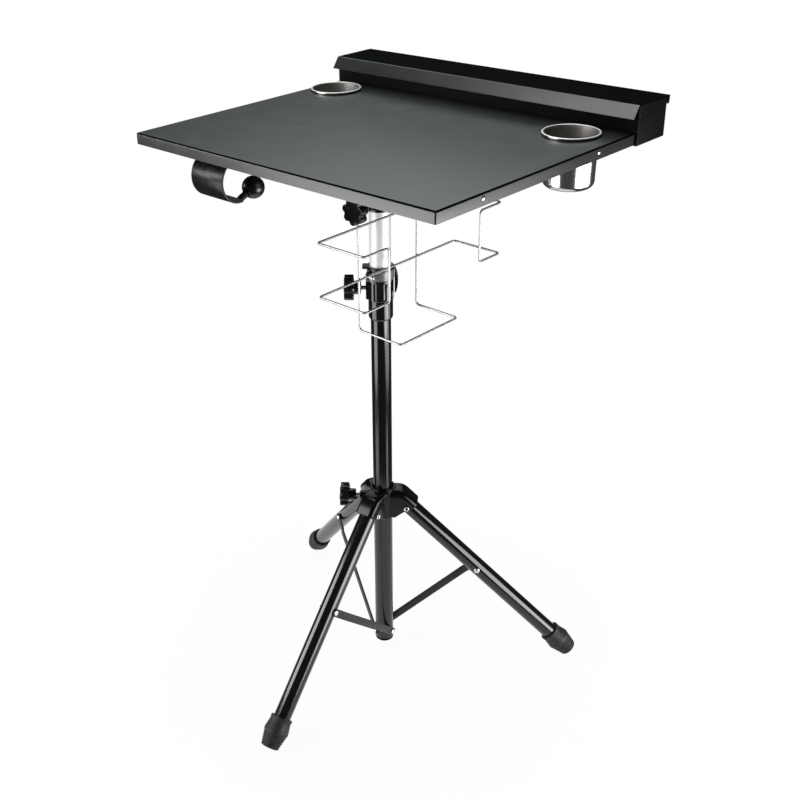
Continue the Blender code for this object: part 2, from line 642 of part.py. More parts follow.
def make_knob(name, axis, tip, boss_end):
    """Star knob on a stud along the axis; returns the cutter for the stud's hole."""
    seat = boss_end + STUD_SHOWS
    add("stud_" + name, rod("stud_" + name, STUD_RADIUS, tip, seat - GAP), "zinc", axis)
    head = seat + KNOB_BOSS
    stack = (
        (seat, KNOB_BOSS_RADIUS, 0.0), (head, KNOB_BOSS_RADIUS, 0.0), (head, KNOB_RADIUS - KNOB_ROUND, 1.0),
        (head + KNOB_ROUND, KNOB_RADIUS, 1.0), (head + KNOB_HEAD - KNOB_ROUND, KNOB_RADIUS, 1.0),
        (head + KNOB_HEAD, KNOB_RADIUS - KNOB_ROUND, 1.0),
    )
    rings = []
    for height, radius, lobed in stack:
        ring = []
        for step in range(KNOB_SIDES):
            turn = 2 * math.pi * step / KNOB_SIDES
            dip = lobed * KNOB_LOBE_DEPTH * (1 - math.cos(KNOB_LOBES * turn)) / 2
            ring.append(((radius - dip) * math.cos(turn), (radius - dip) * math.sin(turn), height))
        rings.append(ring)
    add("knob_" + name, lofted("knob_" + name, rings), "moulding", axis)
    hole = rod("stud_hole_" + name, STUD_RADIUS + GAP, tip - 2 * GAP, seat)
    return add("stud_hole_" + name, hole, None, axis)


def make_collar(mast):
    """Moulded collar: plain skirt, ribbed body, neck for the clamp band and a rim that seats the sleeve."""
    ribs_low = COLLAR_BOTTOM + COLLAR_SKIRT
    ribs_high = COLLAR_NECK_BOTTOM
    chamfer = COLLAR_WALL / 2
    pole_bore = POLE_RADIUS + GAP
    seat_bore = SLEEVE_RADIUS + GAP
    rib = COLLAR_RIB_HEIGHT
    stack = (
        (COLLAR_BORE, COLLAR_BOTTOM, 0), (COLLAR_RADIUS - chamfer, COLLAR_BOTTOM, 0),
        (COLLAR_RADIUS, COLLAR_BOTTOM + 2 * chamfer, 0), (COLLAR_RADIUS, ribs_low, 0),
        (COLLAR_RADIUS + rib, ribs_low + 2 * rib, rib), (COLLAR_RADIUS + rib, ribs_high - rib, rib),
        (COLLAR_RADIUS, ribs_high, 0), (COLLAR_RADIUS, COLLAR_NECK_TOP, 0),
        (COLLAR_RIM_RADIUS, COLLAR_NECK_TOP, 0), (COLLAR_RIM_RADIUS, COLLAR_TOP - rib, 0),
        (COLLAR_RIM_RADIUS - rib, COLLAR_TOP, 0), (seat_bore, COLLAR_TOP, 0),
        (seat_bore, SLEEVE_SEAT, 0), (pole_bore, SLEEVE_SEAT, 0),
        (pole_bore, MAST_TOP + GAP, 0), (COLLAR_BORE, MAST_TOP + GAP, 0),
    )
    rings = []
    for radius, height, swing in stack:
        ring = []
        for step in range(COLLAR_SIDES):
            turn = 2 * math.pi * step / COLLAR_SIDES
            out = radius - swing * (1 - math.cos(COLLAR_RIBS * turn)) / 2
            ring.append((out * math.cos(turn), out * math.sin(turn), height))
        rings.append(ring)
    collar = add("mast_collar", lofted("mast_collar", rings, hollow=True), "moulding", STAND)
    axis = radial("collar_knob_axis", COLLAR_KNOB_AZIMUTH, ribs_high - EAR_HEIGHT / 2)
    reach = COLLAR_RADIUS + EAR_REACH
    inset = COLLAR_BORE + chamfer
    ear = slab(
        "collar_ear", (-EAR_HEIGHT / 2, -EAR_WIDTH / 2, inset),
        (EAR_HEIGHT / 2, EAR_WIDTH / 2, reach), chamfer,
    )
    fuse(collar, add("collar_ear", ear, None, axis))
    wing_axis = radial("collar_wing_axis", COLLAR_KNOB_AZIMUTH, COLLAR_TOP - COLLAR_RIM / 2)
    wing = slab(
        "collar_wing", (-COLLAR_RIM / 2, -EAR_WIDTH / 2, seat_bore + chamfer),
        (COLLAR_RIM / 2, EAR_WIDTH / 2, reach + WING_REACH), chamfer / 2,
    )
    fuse(collar, add("collar_wing", wing, None, wing_axis))
    opposite = (0.0, 0.0, COLLAR_KNOB_AZIMUTH - math.pi)
    fuse(collar, add("collar_lug", lug_mesh(), None, STAND, rotation=opposite))
    hole = make_knob("collar", axis, POLE_RADIUS + GAP, reach)
    cut(collar, hole)
    cut(mast, hole)
    make_band()


def lug_mesh():
    """Curved lug that springs from the rim, opposite the knob, and hooks down outside the clamp band."""
    root = COLLAR_RIM_RADIUS - COLLAR_RIM_REACH / 2
    clear = COLLAR_RADIUS + BAND_THICKNESS + 3 * GAP
    low = COLLAR_TOP - LUG_DROP
    outline = [(clear, low), (clear, COLLAR_NECK_TOP + GAP), (root, COLLAR_NECK_TOP + GAP)]
    for step in range(LUG_STEPS + 1):
        share = step / LUG_STEPS
        swell = 4 * LUG_BULGE * share * (1 - share)
        outline.append((root + (clear + LUG_TIP - root) * share + swell, COLLAR_TOP - LUG_DROP * share))
    return extruded("collar_lug", outline, "Y", -LUG_WIDTH / 2, LUG_WIDTH / 2)


def make_band():
    """Split steel band round the collar's neck, drawn together by one bolt through its two ears."""
    inner = COLLAR_RADIUS + GAP
    outer = inner + BAND_THICKNESS
    low = COLLAR_NECK_BOTTOM + GAP
    high = COLLAR_NECK_TOP - GAP
    half = (BAND_GAP / 2 + BAND_THICKNESS) / outer
    turns = [half + (2 * math.pi - 2 * half) * step / COLLAR_SIDES for step in range(COLLAR_SIDES + 1)]
    outside = [(outer * math.cos(turn), outer * math.sin(turn)) for turn in turns]
    inside = [(inner * math.cos(turn), inner * math.sin(turn)) for turn in turns]
    reach = outer + BAND_EAR
    near = BAND_GAP / 2
    far = near + BAND_THICKNESS
    root = math.sqrt(inner * inner - near * near)
    outline = outside + [(reach, -far), (reach, -near), (root, -near)] + inside[::-1]
    outline += [(root, near), (reach, near), (reach, far)]
    bm = bmesh.new()
    face = bm.faces.new([bm.verts.new((x, y, low)) for x, y in outline])
    grown = bmesh.ops.extrude_face_region(bm, geom=[face])
    moved = [item for item in grown["geom"] if isinstance(item, bmesh.types.BMVert)]
    bmesh.ops.translate(bm, verts=moved, vec=(0.0, 0.0, high - low))
    turn = (0.0, 0.0, BAND_AZIMUTH)
    band = add("collar_band", mesh_of(bm, "collar_band"), "brace_coat", STAND, rotation=turn)
    seat = empty("band_bolt_axis", STAND, (0.0, 0.0, (low + high) / 2), turn)
    place = (outer + BAND_EAR / 2, 0.0, 0.0)
    profile = pin_profile(BAND_BOLT_RADIUS, BAND_BOLT_HEAD, BAND_BOLT_HEAD, -far - GAP, far + GAP, True)
    add("collar_band_bolt", spun("collar_band_bolt", profile, PIN_SIDES), "zinc", seat, place, ACROSS)
    hole = rod("band_bolt_hole", BAND_BOLT_RADIUS + GAP, -2 * far, 2 * far)
    cut(band, add("band_bolt_hole", hole, None, seat, place, ACROSS))


def leg_point(along, across):
    """Point in a leg's upright plane: along the leg from its pivot, and across towards its upper side."""
    out = PIVOT_RADIUS + along * math.sin(LEG_TILT) + across * math.cos(LEG_TILT)
    return out, PIVOT_HEIGHT - along * math.cos(LEG_TILT) + across * math.sin(LEG_TILT)


def make_hub():
    """Casting that slides on the mast: a sleeve with a boss for its knob and three hoods over the legs."""
    neck = [
        (0.0, HUB_BOTTOM), (HUB_RADIUS, HUB_BOTTOM), (HUB_RADIUS, HUB_TOP + HUB_NECK - GAP),
        (HUB_RADIUS - HUB_NECK, HUB_TOP + HUB_NECK), (0.0, HUB_TOP + HUB_NECK),
    ]
    hub = add("hub_casting", spun("hub_casting", neck, TUBE_SIDES), "gloss_coat", STAND)
    roof = LEG_RADIUS + ROOF_GAP + HOOD_WALL
    rise = (PIVOT_HEIGHT + roof * math.sin(LEG_TILT) - HUB_TOP) / math.cos(LEG_TILT)
    downhill = LEG_TILT - math.pi / 2
    cheek = arc((PIVOT_RADIUS, PIVOT_HEIGHT), CHEEK_RADIUS, downhill, CHEEK_END, ROUND_STEPS)
    hood = [(0.0, HUB_BOTTOM), (0.0, HUB_TOP), leg_point(rise, roof), leg_point(CHEEK_RADIUS, roof)]
    hood += cheek + [(HUB_RADIUS, HUB_BOTTOM)]
    under = LEG_RADIUS + ROOF_GAP
    ceiling = PIVOT_HEIGHT + LEG_SWEEP + SWEEP_GAP
    wall = PIVOT_RADIUS - LEG_SWEEP - SWEEP_GAP
    start = (PIVOT_HEIGHT + under * math.sin(LEG_TILT) - ceiling) / math.cos(LEG_TILT)
    beyond = leg_point(CHEEK_RADIUS + LEG_RADIUS, under)
    floor = HUB_BOTTOM - LEG_RADIUS
    room = [(wall, floor), (wall, ceiling), leg_point(start, under), beyond, (beyond[0], floor)]
    cutters = []
    for name, azimuth in zip(LEG_NAMES, LEG_AZIMUTHS):
        turn = (0.0, 0.0, azimuth)
        fuse(hub, add("hood_" + name, hood_mesh("hood_" + name, hood), None, STAND, rotation=turn))
        room_mesh = extruded("leg_room_" + name, room, "Y", -CHEEK_INNER, CHEEK_INNER)
        cutters.append(add("leg_room_" + name, room_mesh, None, STAND, rotation=turn))
        pivot = empty("leg_axis_" + name, STAND, leg_pivot(azimuth), turn)
        hole = rod("leg_rivet_hole_" + name, RIVET_RADIUS + GAP, -2 * CHEEK_OUTER, 2 * CHEEK_OUTER)
        hole = add("leg_rivet_hole_" + name, hole, None, pivot, rotation=ACROSS)
        cutters.append(hole)
        make_leg(name, pivot, hole)
    axis = radial("hub_knob_axis", HUB_KNOB_AZIMUTH, PIVOT_HEIGHT + HUB_BOSS_LIFT)
    reach = HUB_RADIUS + HUB_BOSS_REACH
    boss = rod("hub_boss", HUB_BOSS_RADIUS, MAST_RADIUS, reach, TUBE_SIDES // 2)
    fuse(hub, add("hub_boss", boss, None, axis))
    bore = rod("hub_bore", MAST_RADIUS + GAP, HUB_BOTTOM - HUB_NECK, HUB_TOP + 2 * HUB_NECK, TUBE_SIDES)
    cutters.append(add("hub_bore", bore, None, STAND))
    cutters.append(make_knob("hub", axis, MAST_RADIUS + GAP, reach))
    for cutter in cutters:
        cut(hub, cutter)


def hood_mesh(name, outline):
    """One hood with the long edges of its roof rounded."""
    bm = bmesh.new()
    bm.from_mesh(extruded(name + "_block", outline, "Y", -CHEEK_OUTER, CHEEK_OUTER))
    roof = []
    for edge in bm.edges:
        first, second = (vertex.co for vertex in edge.verts)
        along = abs(first.y - second.y) < GAP
        above = min(first.z, second.z) > PIVOT_HEIGHT + CHEEK_RADIUS * math.cos(LEG_TILT)
        if along and above:
            roof.append(edge)
    bmesh.ops.bevel(bm, geom=roof, offset=HOOD_ROUND, segments=3, profile=0.5, affect="EDGES")
    return mesh_of(bm, name)


def leg_pivot(azimuth):
    return PIVOT_RADIUS * math.cos(azimuth), PIVOT_RADIUS * math.sin(azimuth), PIVOT_HEIGHT


def make_leg(name, pivot, rivet_hole):
    """Tube on its pivot rivet, with a rubber foot that is worn flat where it stands."""
    tilt = (0.0, -LEG_TILT, 0.0)
    end = FOOT_FLOOR + GAP - LEG_REACH
    leg = tube("leg_" + name, LEG_RADIUS, LEG_RADIUS - LEG_WALL, end, LEG_TOP)
    leg = add("leg_" + name, leg, "gloss_coat", pivot, rotation=tilt)
    cut(leg, rivet_hole)
    side = CHEEK_OUTER + GAP
    rivet = pin_profile(RIVET_RADIUS, RIVET_HEAD, RIVET_HEAD_HEIGHT, -side, side, True)
    add("leg_rivet_" + name, spun("leg_rivet_" + name, rivet, PIN_SIDES), "zinc", pivot, rotation=ACROSS)
    socket = LEG_RADIUS + GAP
    profile = foot_outline() + [(socket, FOOT_LENGTH), (socket, FOOT_FLOOR), (0.0, FOOT_FLOOR)]
    profile = [(radius, height - LEG_REACH) for radius, height in profile]
    foot = add("foot_" + name, spun("foot_" + name, profile, FOOT_SIDES), "rubber", pivot, rotation=tilt)
    cut(foot, bpy.data.objects["floor"])
    seat = empty("brace_rivet_axis_" + name, pivot, Vector(leg_direction()) * BRACE_ALONG)
    low = -LEG_RADIUS - GAP
    cross = pin_profile(RIVET_RADIUS, RIVET_HEAD, RIVET_HEAD_HEIGHT, low, LEG_RADIUS - LEG_WALL, True)
    cross = cross[:6] + [(0.0, LEG_RADIUS - LEG_WALL)]
    label = "leg_cross_rivet_" + name
    add(label, spun(label, cross, PIN_SIDES), "zinc", seat, rotation=ACROSS)
    hole = rod(label + "_hole", RIVET_RADIUS + GAP, -2 * LEG_RADIUS, 2 * LEG_RADIUS)
    cut(leg, add(label + "_hole", hole, None, seat, rotation=ACROSS))


def leg_direction():
    return math.sin(LEG_TILT), 0.0, -math.cos(LEG_TILT)


def make_braces(mast, plug):
    """Flat bars that pull the legs in when the hub slides up; each is cranked to lie beside its leg."""
    far_out, far_up = leg_point(BRACE_ALONG, 0.0)
    rise = far_up - BRACE_HEIGHT
    length = math.hypot(far_out, rise)
    tilt = (0.0, -math.atan2(rise, far_out), 0.0)
    half = BRACE_WIDTH / 2
    near = MAST_RADIUS + BRACE_SIDE
    crank = MAST_RADIUS - LEG_RADIUS
    head = near + BRACE_THICKNESS + GAP
    inner = LEG_RADIUS + BRACE_SIDE
    outline = arc((0.0, 0.0), half, math.pi / 2, math.pi * 1.5, END_STEPS)
    outline += arc((length, 0.0), half, -math.pi / 2, math.pi / 2, END_STEPS)
    for name, azimuth in zip(LEG_NAMES, LEG_AZIMUTHS):
        axis = empty("brace_axis_" + name, STAND, (0.0, 0.0, BRACE_HEIGHT), (0.0, 0.0, azimuth))
        bar = brace_mesh("brace_" + name, outline, near, length, crank)
        bar = add("brace_" + name, bar, "brace_coat", axis, rotation=tilt)
        label = "brace_bolt_" + name
        profile = pin_profile(BOLT_RADIUS, BOLT_HEAD, RIVET_HEAD_HEIGHT, BOLT_DEPTH, head)
        add(label, spun(label, profile, PIN_SIDES), "zinc", axis, rotation=ACROSS)
        hole = rod(label + "_hole", BOLT_RADIUS + GAP, BOLT_DEPTH - GAP, 2 * head)
        hole = add(label + "_hole", hole, None, axis, rotation=ACROSS)
        for piece in (bar, mast, plug):
            cut(piece, hole)
        seat = empty("brace_end_" + name, axis, (far_out, 0.0, rise))
        label = "brace_rivet_" + name
        outer = inner + BRACE_THICKNESS + GAP
        profile = pin_profile(RIVET_RADIUS, RIVET_HEAD, RIVET_HEAD_HEIGHT, inner, outer)
        add(label, spun(label, profile, PIN_SIDES), "zinc", seat, rotation=ACROSS)
        hole = rod(label + "_hole", RIVET_RADIUS + GAP, 0.0, 2 * inner)
        cut(bar, add(label + "_hole", hole, None, seat, rotation=ACROSS))


def brace_mesh(name, outline, near, length, crank):
    bm = bmesh.new()
    face = bm.faces.new([bm.verts.new((x, near, z)) for x, z in outline])
    grown = bmesh.ops.extrude_face_region(bm, geom=[face])
    moved = [item for item in grown["geom"] if isinstance(item, bmesh.types.BMVert)]
    bmesh.ops.translate(bm, verts=moved, vec=(0.0, BRACE_THICKNESS, 0.0))
    bend_end = length - BRACE_JOGGLE_START
    for place in (bend_end - BRACE_JOGGLE, bend_end):
        geometry = bm.verts[:] + bm.edges[:] + bm.faces[:]
        bmesh.ops.bisect_plane(bm, geom=geometry, plane_co=(place, 0.0, 0.0), plane_no=(1.0, 0.0, 0.0))
    for vertex in bm.verts:
        if vertex.co.x > bend_end - BRACE_JOGGLE / 2:
            vertex.co.y -= crank
    return mesh_of(bm, name)


def make_hook():
    """Wide bowed strap under the tray's front, with a ball on a short stem at its free end."""
    right = HOOK_LEFT + HOOK_WIDTH - TRAY_WIDTH / 2
    left = right - HOOK_WIDTH
    centre = (HOOK_BACK - TRAY_DEPTH / 2, TRAY_HEIGHT - HOOK_DROP)
    outer = arc(centre, HOOK_RADIUS, HOOK_START, HOOK_END, BOW_STEPS)
    inner = arc(centre, HOOK_RADIUS - HOOK_STRAP, HOOK_START, HOOK_END, BOW_STEPS)
    top = SHEET_UNDER - GAP
    climb_out = top - outer[0][1]
    climb_in = top - HOOK_STRAP - inner[0][1]
    lean = math.tan(HOOK_START - math.pi / 2)
    bend = (outer[0][0] + climb_out / lean, top)
    fold = (inner[0][0] + climb_in / lean, top - HOOK_STRAP)
    tab = bend[0] + HOOK_TAB
    outline = outer[::-1] + [bend, (tab, top), (tab, top - HOOK_STRAP), fold] + inner
    add("hook_strap", extruded("hook_strap", outline, "X", left, right), "gloss_coat", STAND)
    thread = HOOK_RADIUS - HOOK_STRAP / 2
    tip = (centre[0] + thread * math.cos(HOOK_END), centre[1] + thread * math.sin(HOOK_END))
    place = (right - STEM_INSET, tip[0], tip[1])
    stem_axis = empty("stem_axis", STAND, place, (STEM_RISE - math.pi / 2, 0.0, 0.0))
    start = GAP + HOOK_STRAP / 2 * math.tan(abs(STEM_RISE - HOOK_END + 1.5 * math.pi))
    end = start + STEM_LENGTH
    add("hook_stem", rod("hook_stem", STEM_RADIUS, start, end, 2 * PIN_SIDES), "moulding", stem_axis)
    sink = math.sqrt(BALL_RADIUS ** 2 - STEM_RADIUS ** 2)
    middle = end + GAP + sink
    sunk = -math.acos(STEM_RADIUS / BALL_RADIUS)
    ball = [(0.0, middle - sink)]
    ball += arc((0.0, middle), BALL_RADIUS, sunk, math.pi / 2, BALL_STEPS)[:-1]
    ball += [(0.0, middle + BALL_RADIUS)]
    add("hook_ball", spun("hook_ball", ball, 2 * PIN_SIDES), "moulding", stem_axis)


def bent_wire(name, corners, closed):
    """Round wire through the corners, each bent on an arc."""
    points = []
    count = len(corners)
    for index, corner in enumerate(corners):
        corner = Vector(corner)
        if not closed and index in (0, count - 1):
            points.append(corner)
            continue
        back = (Vector(corners[index - 1]) - corner).normalized()
        ahead = (Vector(corners[(index + 1) % count]) - corner).normalized()
        centre = corner + (back + ahead) * WIRE_BEND
        for step in range(WIRE_STEPS + 1):
            turn = step * math.pi / 2 / WIRE_STEPS
            points.append(centre - ahead * WIRE_BEND * math.cos(turn) - back * WIRE_BEND * math.sin(turn))
    curve = bpy.data.curves.new(name, "CURVE")
    curve.dimensions = "3D"
    curve.bevel_depth = WIRE_RADIUS
    curve.bevel_resolution = 2
    curve.use_fill_caps = True
    spline = curve.splines.new("POLY")
    spline.points.add(len(points) - 1)
    for point, place in zip(spline.points, points):
        point.co = (*place, 1.0)
    spline.use_cyclic_u = closed
    spline.use_smooth = True
    add(name, curve, "chrome", STAND)


def make_holder():
    """Two wires: a closed loop that wraps a carton's two ends, and a stirrup that hangs it from the tray."""
    left = COLLAR_RIM_RADIUS + HOLDER_SIDE + WIRE_RADIUS
    right = left + HOLDER_WIDTH
    back = HOLDER_BACK
    front = HOLDER_BACK - HOLDER_LENGTH
    high = TRAY_HEIGHT - HOLDER_DROP
    low = high - HOLDER_HEIGHT
    loop = [
        (left, front, high), (left, back, high), (right, back, high), (right, back - HOLDER_RETURN, high),
        (right, back - HOLDER_RETURN, low), (right, back, low), (left, back, low), (left, front, low),
        (right, front, low), (right, front + HOLDER_RETURN, low), (right, front + HOLDER_RETURN, high),
        (right, front, high),
    ]
    bent_wire("carton_loop", loop, closed=True)
    inside = left - 2 * WIRE_RADIUS - GAP
    outside = inside + STIRRUP_WIDTH
    shelf = high - STIRRUP_DEPTH
    behind = SOCKET_PLATE_Y / 2 + STIRRUP_SIDE + WIRE_RADIUS
    ahead = behind - STIRRUP_LENGTH
    top = SHEET_UNDER - GAP - WIRE_RADIUS
    stirrup = [
        (inside, ahead, high + WIRE_RADIUS), (inside, ahead, shelf), (outside, ahead, shelf),
        (outside, behind, shelf), (inside, behind, shelf), (inside, behind, top),
        (inside, behind + STIRRUP_FOOT, top),
    ]
    bent_wire("carton_stirrup", stirrup, closed=False)


floor_low = (-TRAY_WIDTH, -TRAY_WIDTH, -TRAY_WIDTH)
add("floor", slab("floor", floor_low, (TRAY_WIDTH, TRAY_WIDTH, 0.0)), None, STAND)
make_tray()
make_box()
make_cups()
mast_tube, mast_plug, pole_sleeve = make_mast()
make_socket(pole_sleeve)
make_collar(mast_tube)
make_hub()
make_braces(mast_tube, mast_plug)
make_hook()
make_holder()
bpy.context.view_layer.update()
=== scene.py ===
"""Looks of the tattoo workstation: fine pieces for the CAD solids, finishes, studio and camera."""
import json
import math

import bpy
from mathutils import Matrix, Quaternion, Vector


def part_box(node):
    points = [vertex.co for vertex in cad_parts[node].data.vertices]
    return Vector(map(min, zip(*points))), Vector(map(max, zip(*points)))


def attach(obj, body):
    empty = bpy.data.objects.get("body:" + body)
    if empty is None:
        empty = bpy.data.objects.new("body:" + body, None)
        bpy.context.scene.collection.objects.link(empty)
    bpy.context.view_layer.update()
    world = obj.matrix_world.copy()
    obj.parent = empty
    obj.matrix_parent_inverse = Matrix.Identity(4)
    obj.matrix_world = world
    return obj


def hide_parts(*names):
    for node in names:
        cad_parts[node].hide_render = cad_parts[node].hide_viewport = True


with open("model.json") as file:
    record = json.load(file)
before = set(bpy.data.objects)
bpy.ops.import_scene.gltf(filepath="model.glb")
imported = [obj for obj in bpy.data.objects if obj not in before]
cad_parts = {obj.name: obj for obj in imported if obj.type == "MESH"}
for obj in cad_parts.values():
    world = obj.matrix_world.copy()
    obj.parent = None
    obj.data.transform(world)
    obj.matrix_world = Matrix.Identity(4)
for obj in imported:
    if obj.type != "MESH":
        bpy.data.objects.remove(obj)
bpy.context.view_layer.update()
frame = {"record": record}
record = frame["record"]
BODY_OF = {node: body for body, nodes in record["behaviour"]["bodies"].items() for node in nodes}

# Places that the CAD gives
MAST_LOW, MAST_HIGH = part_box("mast_tube")
MAST_X = (MAST_LOW.x + MAST_HIGH.x) / 2
MAST_Y = (MAST_LOW.y + MAST_HIGH.y) / 2
MAST_RADIUS = (MAST_HIGH.x - MAST_LOW.x) / 2
TRAY_LOW, TRAY_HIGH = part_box("tray_pan")
BOX_LOW, BOX_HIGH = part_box("box_shell")
LID_LOW, LID_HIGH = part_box("box_lid")
UP = Vector((0.0, 0.0, 1.0))

# Sizes shared with the CAD, in metres
GAP = 0.0003
SHEET = 0.0012
TUBE_WALL = 0.0012
TUBE_EDGE = 0.0003
SLEEVE_RADIUS = 0.0146
SLEEVE_WALL = 0.0018
POLE_RADIUS = 0.0125
STUD_RADIUS = 0.0030
KNOB_RADIUS = 0.0180
KNOB_HEAD = 0.0125
KNOB_BOSS = 0.010
KNOB_BOSS_RADIUS = 0.0090
STUD_SHOWS = 0.0070
LEG_RADIUS = 0.0125
LEG_TILT = math.radians(44.5)
LEG_TOP = 0.004
LEG_AZIMUTH = math.radians(-82.6)
LEG_NAMES = ("front", "right", "back")
LEG_TURNS = {name: LEG_AZIMUTH + step * 2 * math.pi / 3 for step, name in enumerate(LEG_NAMES)}
PIVOT_HEIGHT = 0.266
HUB_RADIUS = MAST_RADIUS + GAP + 0.0047
LEG_SWEEP = math.hypot(LEG_TOP, LEG_RADIUS)
PIVOT_RADIUS = HUB_RADIUS + 0.0040 + LEG_SWEEP
RIVET_SHANK = 0.0025
RIVET_HEAD = 0.0042
RIVET_RISE = 0.0020
RIM_SHANK = 0.0016
RIM_HEAD = 0.0030
RIM_RISE = 0.0012
BOX_RIVET_SHANK = 0.0008
BOX_RIVET_HEAD = 0.0015
BOX_RIVET_RISE = 0.0007
CUP_RADIUS = 0.0342
LIP_REACH = 0.0110
LIP_DROP = 0.0155
BOX_BACK = BOX_LOW.y + 0.066
HINGE_RADIUS = 0.0030
HINGE_PIN_RADIUS = 0.0014
HINGE_KNUCKLES = 5
HINGE_Y = BOX_BACK + GAP + HINGE_RADIUS
HINGE_Z = LID_HIGH.z - SHEET - 0.0068
SOCKET_RADIUS = SLEEVE_RADIUS + GAP + 0.0016
SOCKET_FLARE = 0.011
SOCKET_BOSS_RADIUS = 0.0068
SOCKET_BOSS_REACH = 0.0235
SOCKET_HALF_DEPTH = 0.030
TRAY_KNOB_AZIMUTH = math.radians(270)
TRAY_KNOB_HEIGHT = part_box("tray_socket")[0].z + KNOB_BOSS_RADIUS
COLLAR_BORE = MAST_RADIUS + GAP
COLLAR_RADIUS = COLLAR_BORE + 0.0026
COLLAR_RIM = COLLAR_RADIUS + 0.0021
COLLAR_EAR_REACH = COLLAR_RADIUS + 0.0030
COLLAR_RIBS = 8
COLLAR_KNOB_AZIMUTH = math.radians(220)
COLLAR_KNOB_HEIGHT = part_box("mast_collar")[0].z + 0.0436
BAND_AZIMUTH = math.radians(272)
BAND_SHEET = 0.0014
LUG_DROP = 0.038
LUG_BULGE = 0.0045
KNOB_LOBES = 7
KNOB_NOTCH = 0.0036
THREAD_PITCH = 0.0008
THREAD_DEPTH = 0.0004
HUB_KNOB_AZIMUTH = math.radians(-142.6)
HUB_KNOB_HEIGHT = PIVOT_HEIGHT + 0.012
HUB_BOSS_RADIUS = 0.0070
HUB_BOSS_END = HUB_RADIUS + 0.015
ROOF_GAP = 0.0011
HOOD_WALL = 0.0028
HOOD_BROW = 0.020
CHEEK_RADIUS = 0.0070
CHEEK_END = math.radians(-117)
CHEEK_INNER = LEG_RADIUS + 0.0005
CHEEK_OUTER = CHEEK_INNER + 0.0025
FOOT_LENGTH = 0.045
FOOT_FLOOR = 0.012
FOOT_TIP = 0.014
FOOT_BELLY = 0.0183
FOOT_BELLY_HEIGHT = 0.025
FOOT_ROUND = 0.003
FOOT_RIBS = 5
FOOT_WEAR = 0.0015
FOOT_SHOULDER = FOOT_ROUND * (1 - math.sqrt(0.5))
FOOT_LOWEST = (FOOT_TIP - FOOT_SHOULDER) * math.sin(LEG_TILT) - FOOT_SHOULDER * math.cos(LEG_TILT)
LEG_REACH = (PIVOT_HEIGHT + FOOT_WEAR - FOOT_LOWEST) / math.cos(LEG_TILT)
BRACE_ALONG = 0.1527
BRACE_HEIGHT = 0.027
BRACE_WIDTH = 0.012
BRACE_THICKNESS = 0.002
BRACE_SIDE = 0.0004
HOOK_RADIUS = 0.0297
HOOK_STRAP = 0.003
HOOK_START = math.radians(135)
HOOK_END = math.radians(280)
STEM_RADIUS = 0.0045
BALL_RADIUS = 0.015
WIRE_RADIUS = 0.0015
WIRE_BEND = 0.005

# Fineness of the meshes, the grain of spun metal and the studio's floor
MERGE = 1e-6
FINE_SIDES = 72
BOSS_SIDES = 48
SMALL_SIDES = 32
PIN_SIDES = 24
CUP_SIDES = 128
COLLAR_SIDES = 96
STEPS = 8
SPUN = (0.25, 0.25, 60.0)
FLOOR_RADIUS = 0.50


def mode(name):
    bpy.ops.object.mode_set(mode=name)


def focus(piece):
    """Leaves edit mode and makes one piece the only selected one."""
    if bpy.context.object and bpy.context.object.mode != "OBJECT":
        mode("OBJECT")
    bpy.ops.object.select_all(action="DESELECT")
    if piece is not None:
        piece.select_set(True)
        bpy.context.view_layer.objects.active = piece


def named(name):
    """Names the piece that was just added."""
    piece = bpy.context.active_object
    piece.name = name
    piece.data.name = name
    return piece


def round_edges(piece, test, width, segments):
    """Rounds the edges whose two ends pass a test."""
    focus(piece)
    mesh = piece.data
    for group in (mesh.vertices, mesh.edges, mesh.polygons):
        group.foreach_set("select", [False] * len(group))
    bpy.context.tool_settings.mesh_select_mode = (False, True, False)
    for edge in mesh.edges:
        first, second = (mesh.vertices[index].co for index in edge.vertices)
        edge.select = bool(test(first, second))
    mode("EDIT")
    bpy.ops.mesh.bevel(offset=width, segments=segments, affect="EDGES")
    mode("OBJECT")


def settle(piece, place):
    """Puts a piece in its place and leaves that place in the mesh."""
    focus(piece)
    piece.matrix_world = place
    bpy.ops.object.transform_apply(location=True, rotation=True, scale=True)
    return piece


def merge_all():
    """Merges the points that meet."""
    bpy.ops.mesh.select_all(action="SELECT")
    bpy.ops.mesh.remove_doubles(threshold=MERGE)


def line(name, points, closed=False):
    """Draws one vertex out from point to point, and stays in edit mode with all of it selected."""
    focus(None)
    bpy.ops.mesh.primitive_plane_add(size=SHEET, location=(0.0, 0.0, 0.0))
    piece = named(name)
    bpy.context.tool_settings.mesh_select_mode = (True, False, False)
    mode("EDIT")
    bpy.ops.mesh.select_all(action="SELECT")
    bpy.ops.mesh.merge(type="CENTER")
    points = [Vector(point).to_3d() for point in points]
    bpy.ops.transform.translate(value=points[0])
    if closed:
        points.append(points[0])
    for last, point in zip(points, points[1:]):
        bpy.ops.mesh.extrude_region_move(TRANSFORM_OT_translate={"value": point - last})
    merge_all()
    bpy.ops.mesh.select_all(action="SELECT")
    return piece


def tidy_faces():
    """Merges what meets and turns all faces outwards."""
    merge_all()
    bpy.ops.mesh.normals_make_consistent(inside=False)


def lathe(name, profile, place, sides=FINE_SIDES, ring=False):
    """Spins (radius, height) points round Z; a ring's profile closes, others end on the axis."""
    piece = line(name, [(radius, 0.0, height) for radius, height in profile], closed=ring)
    bpy.ops.mesh.spin(steps=sides, angle=2 * math.pi, center=(0.0, 0.0, 0.0), axis=UP)
    tidy_faces()
    return settle(piece, place)


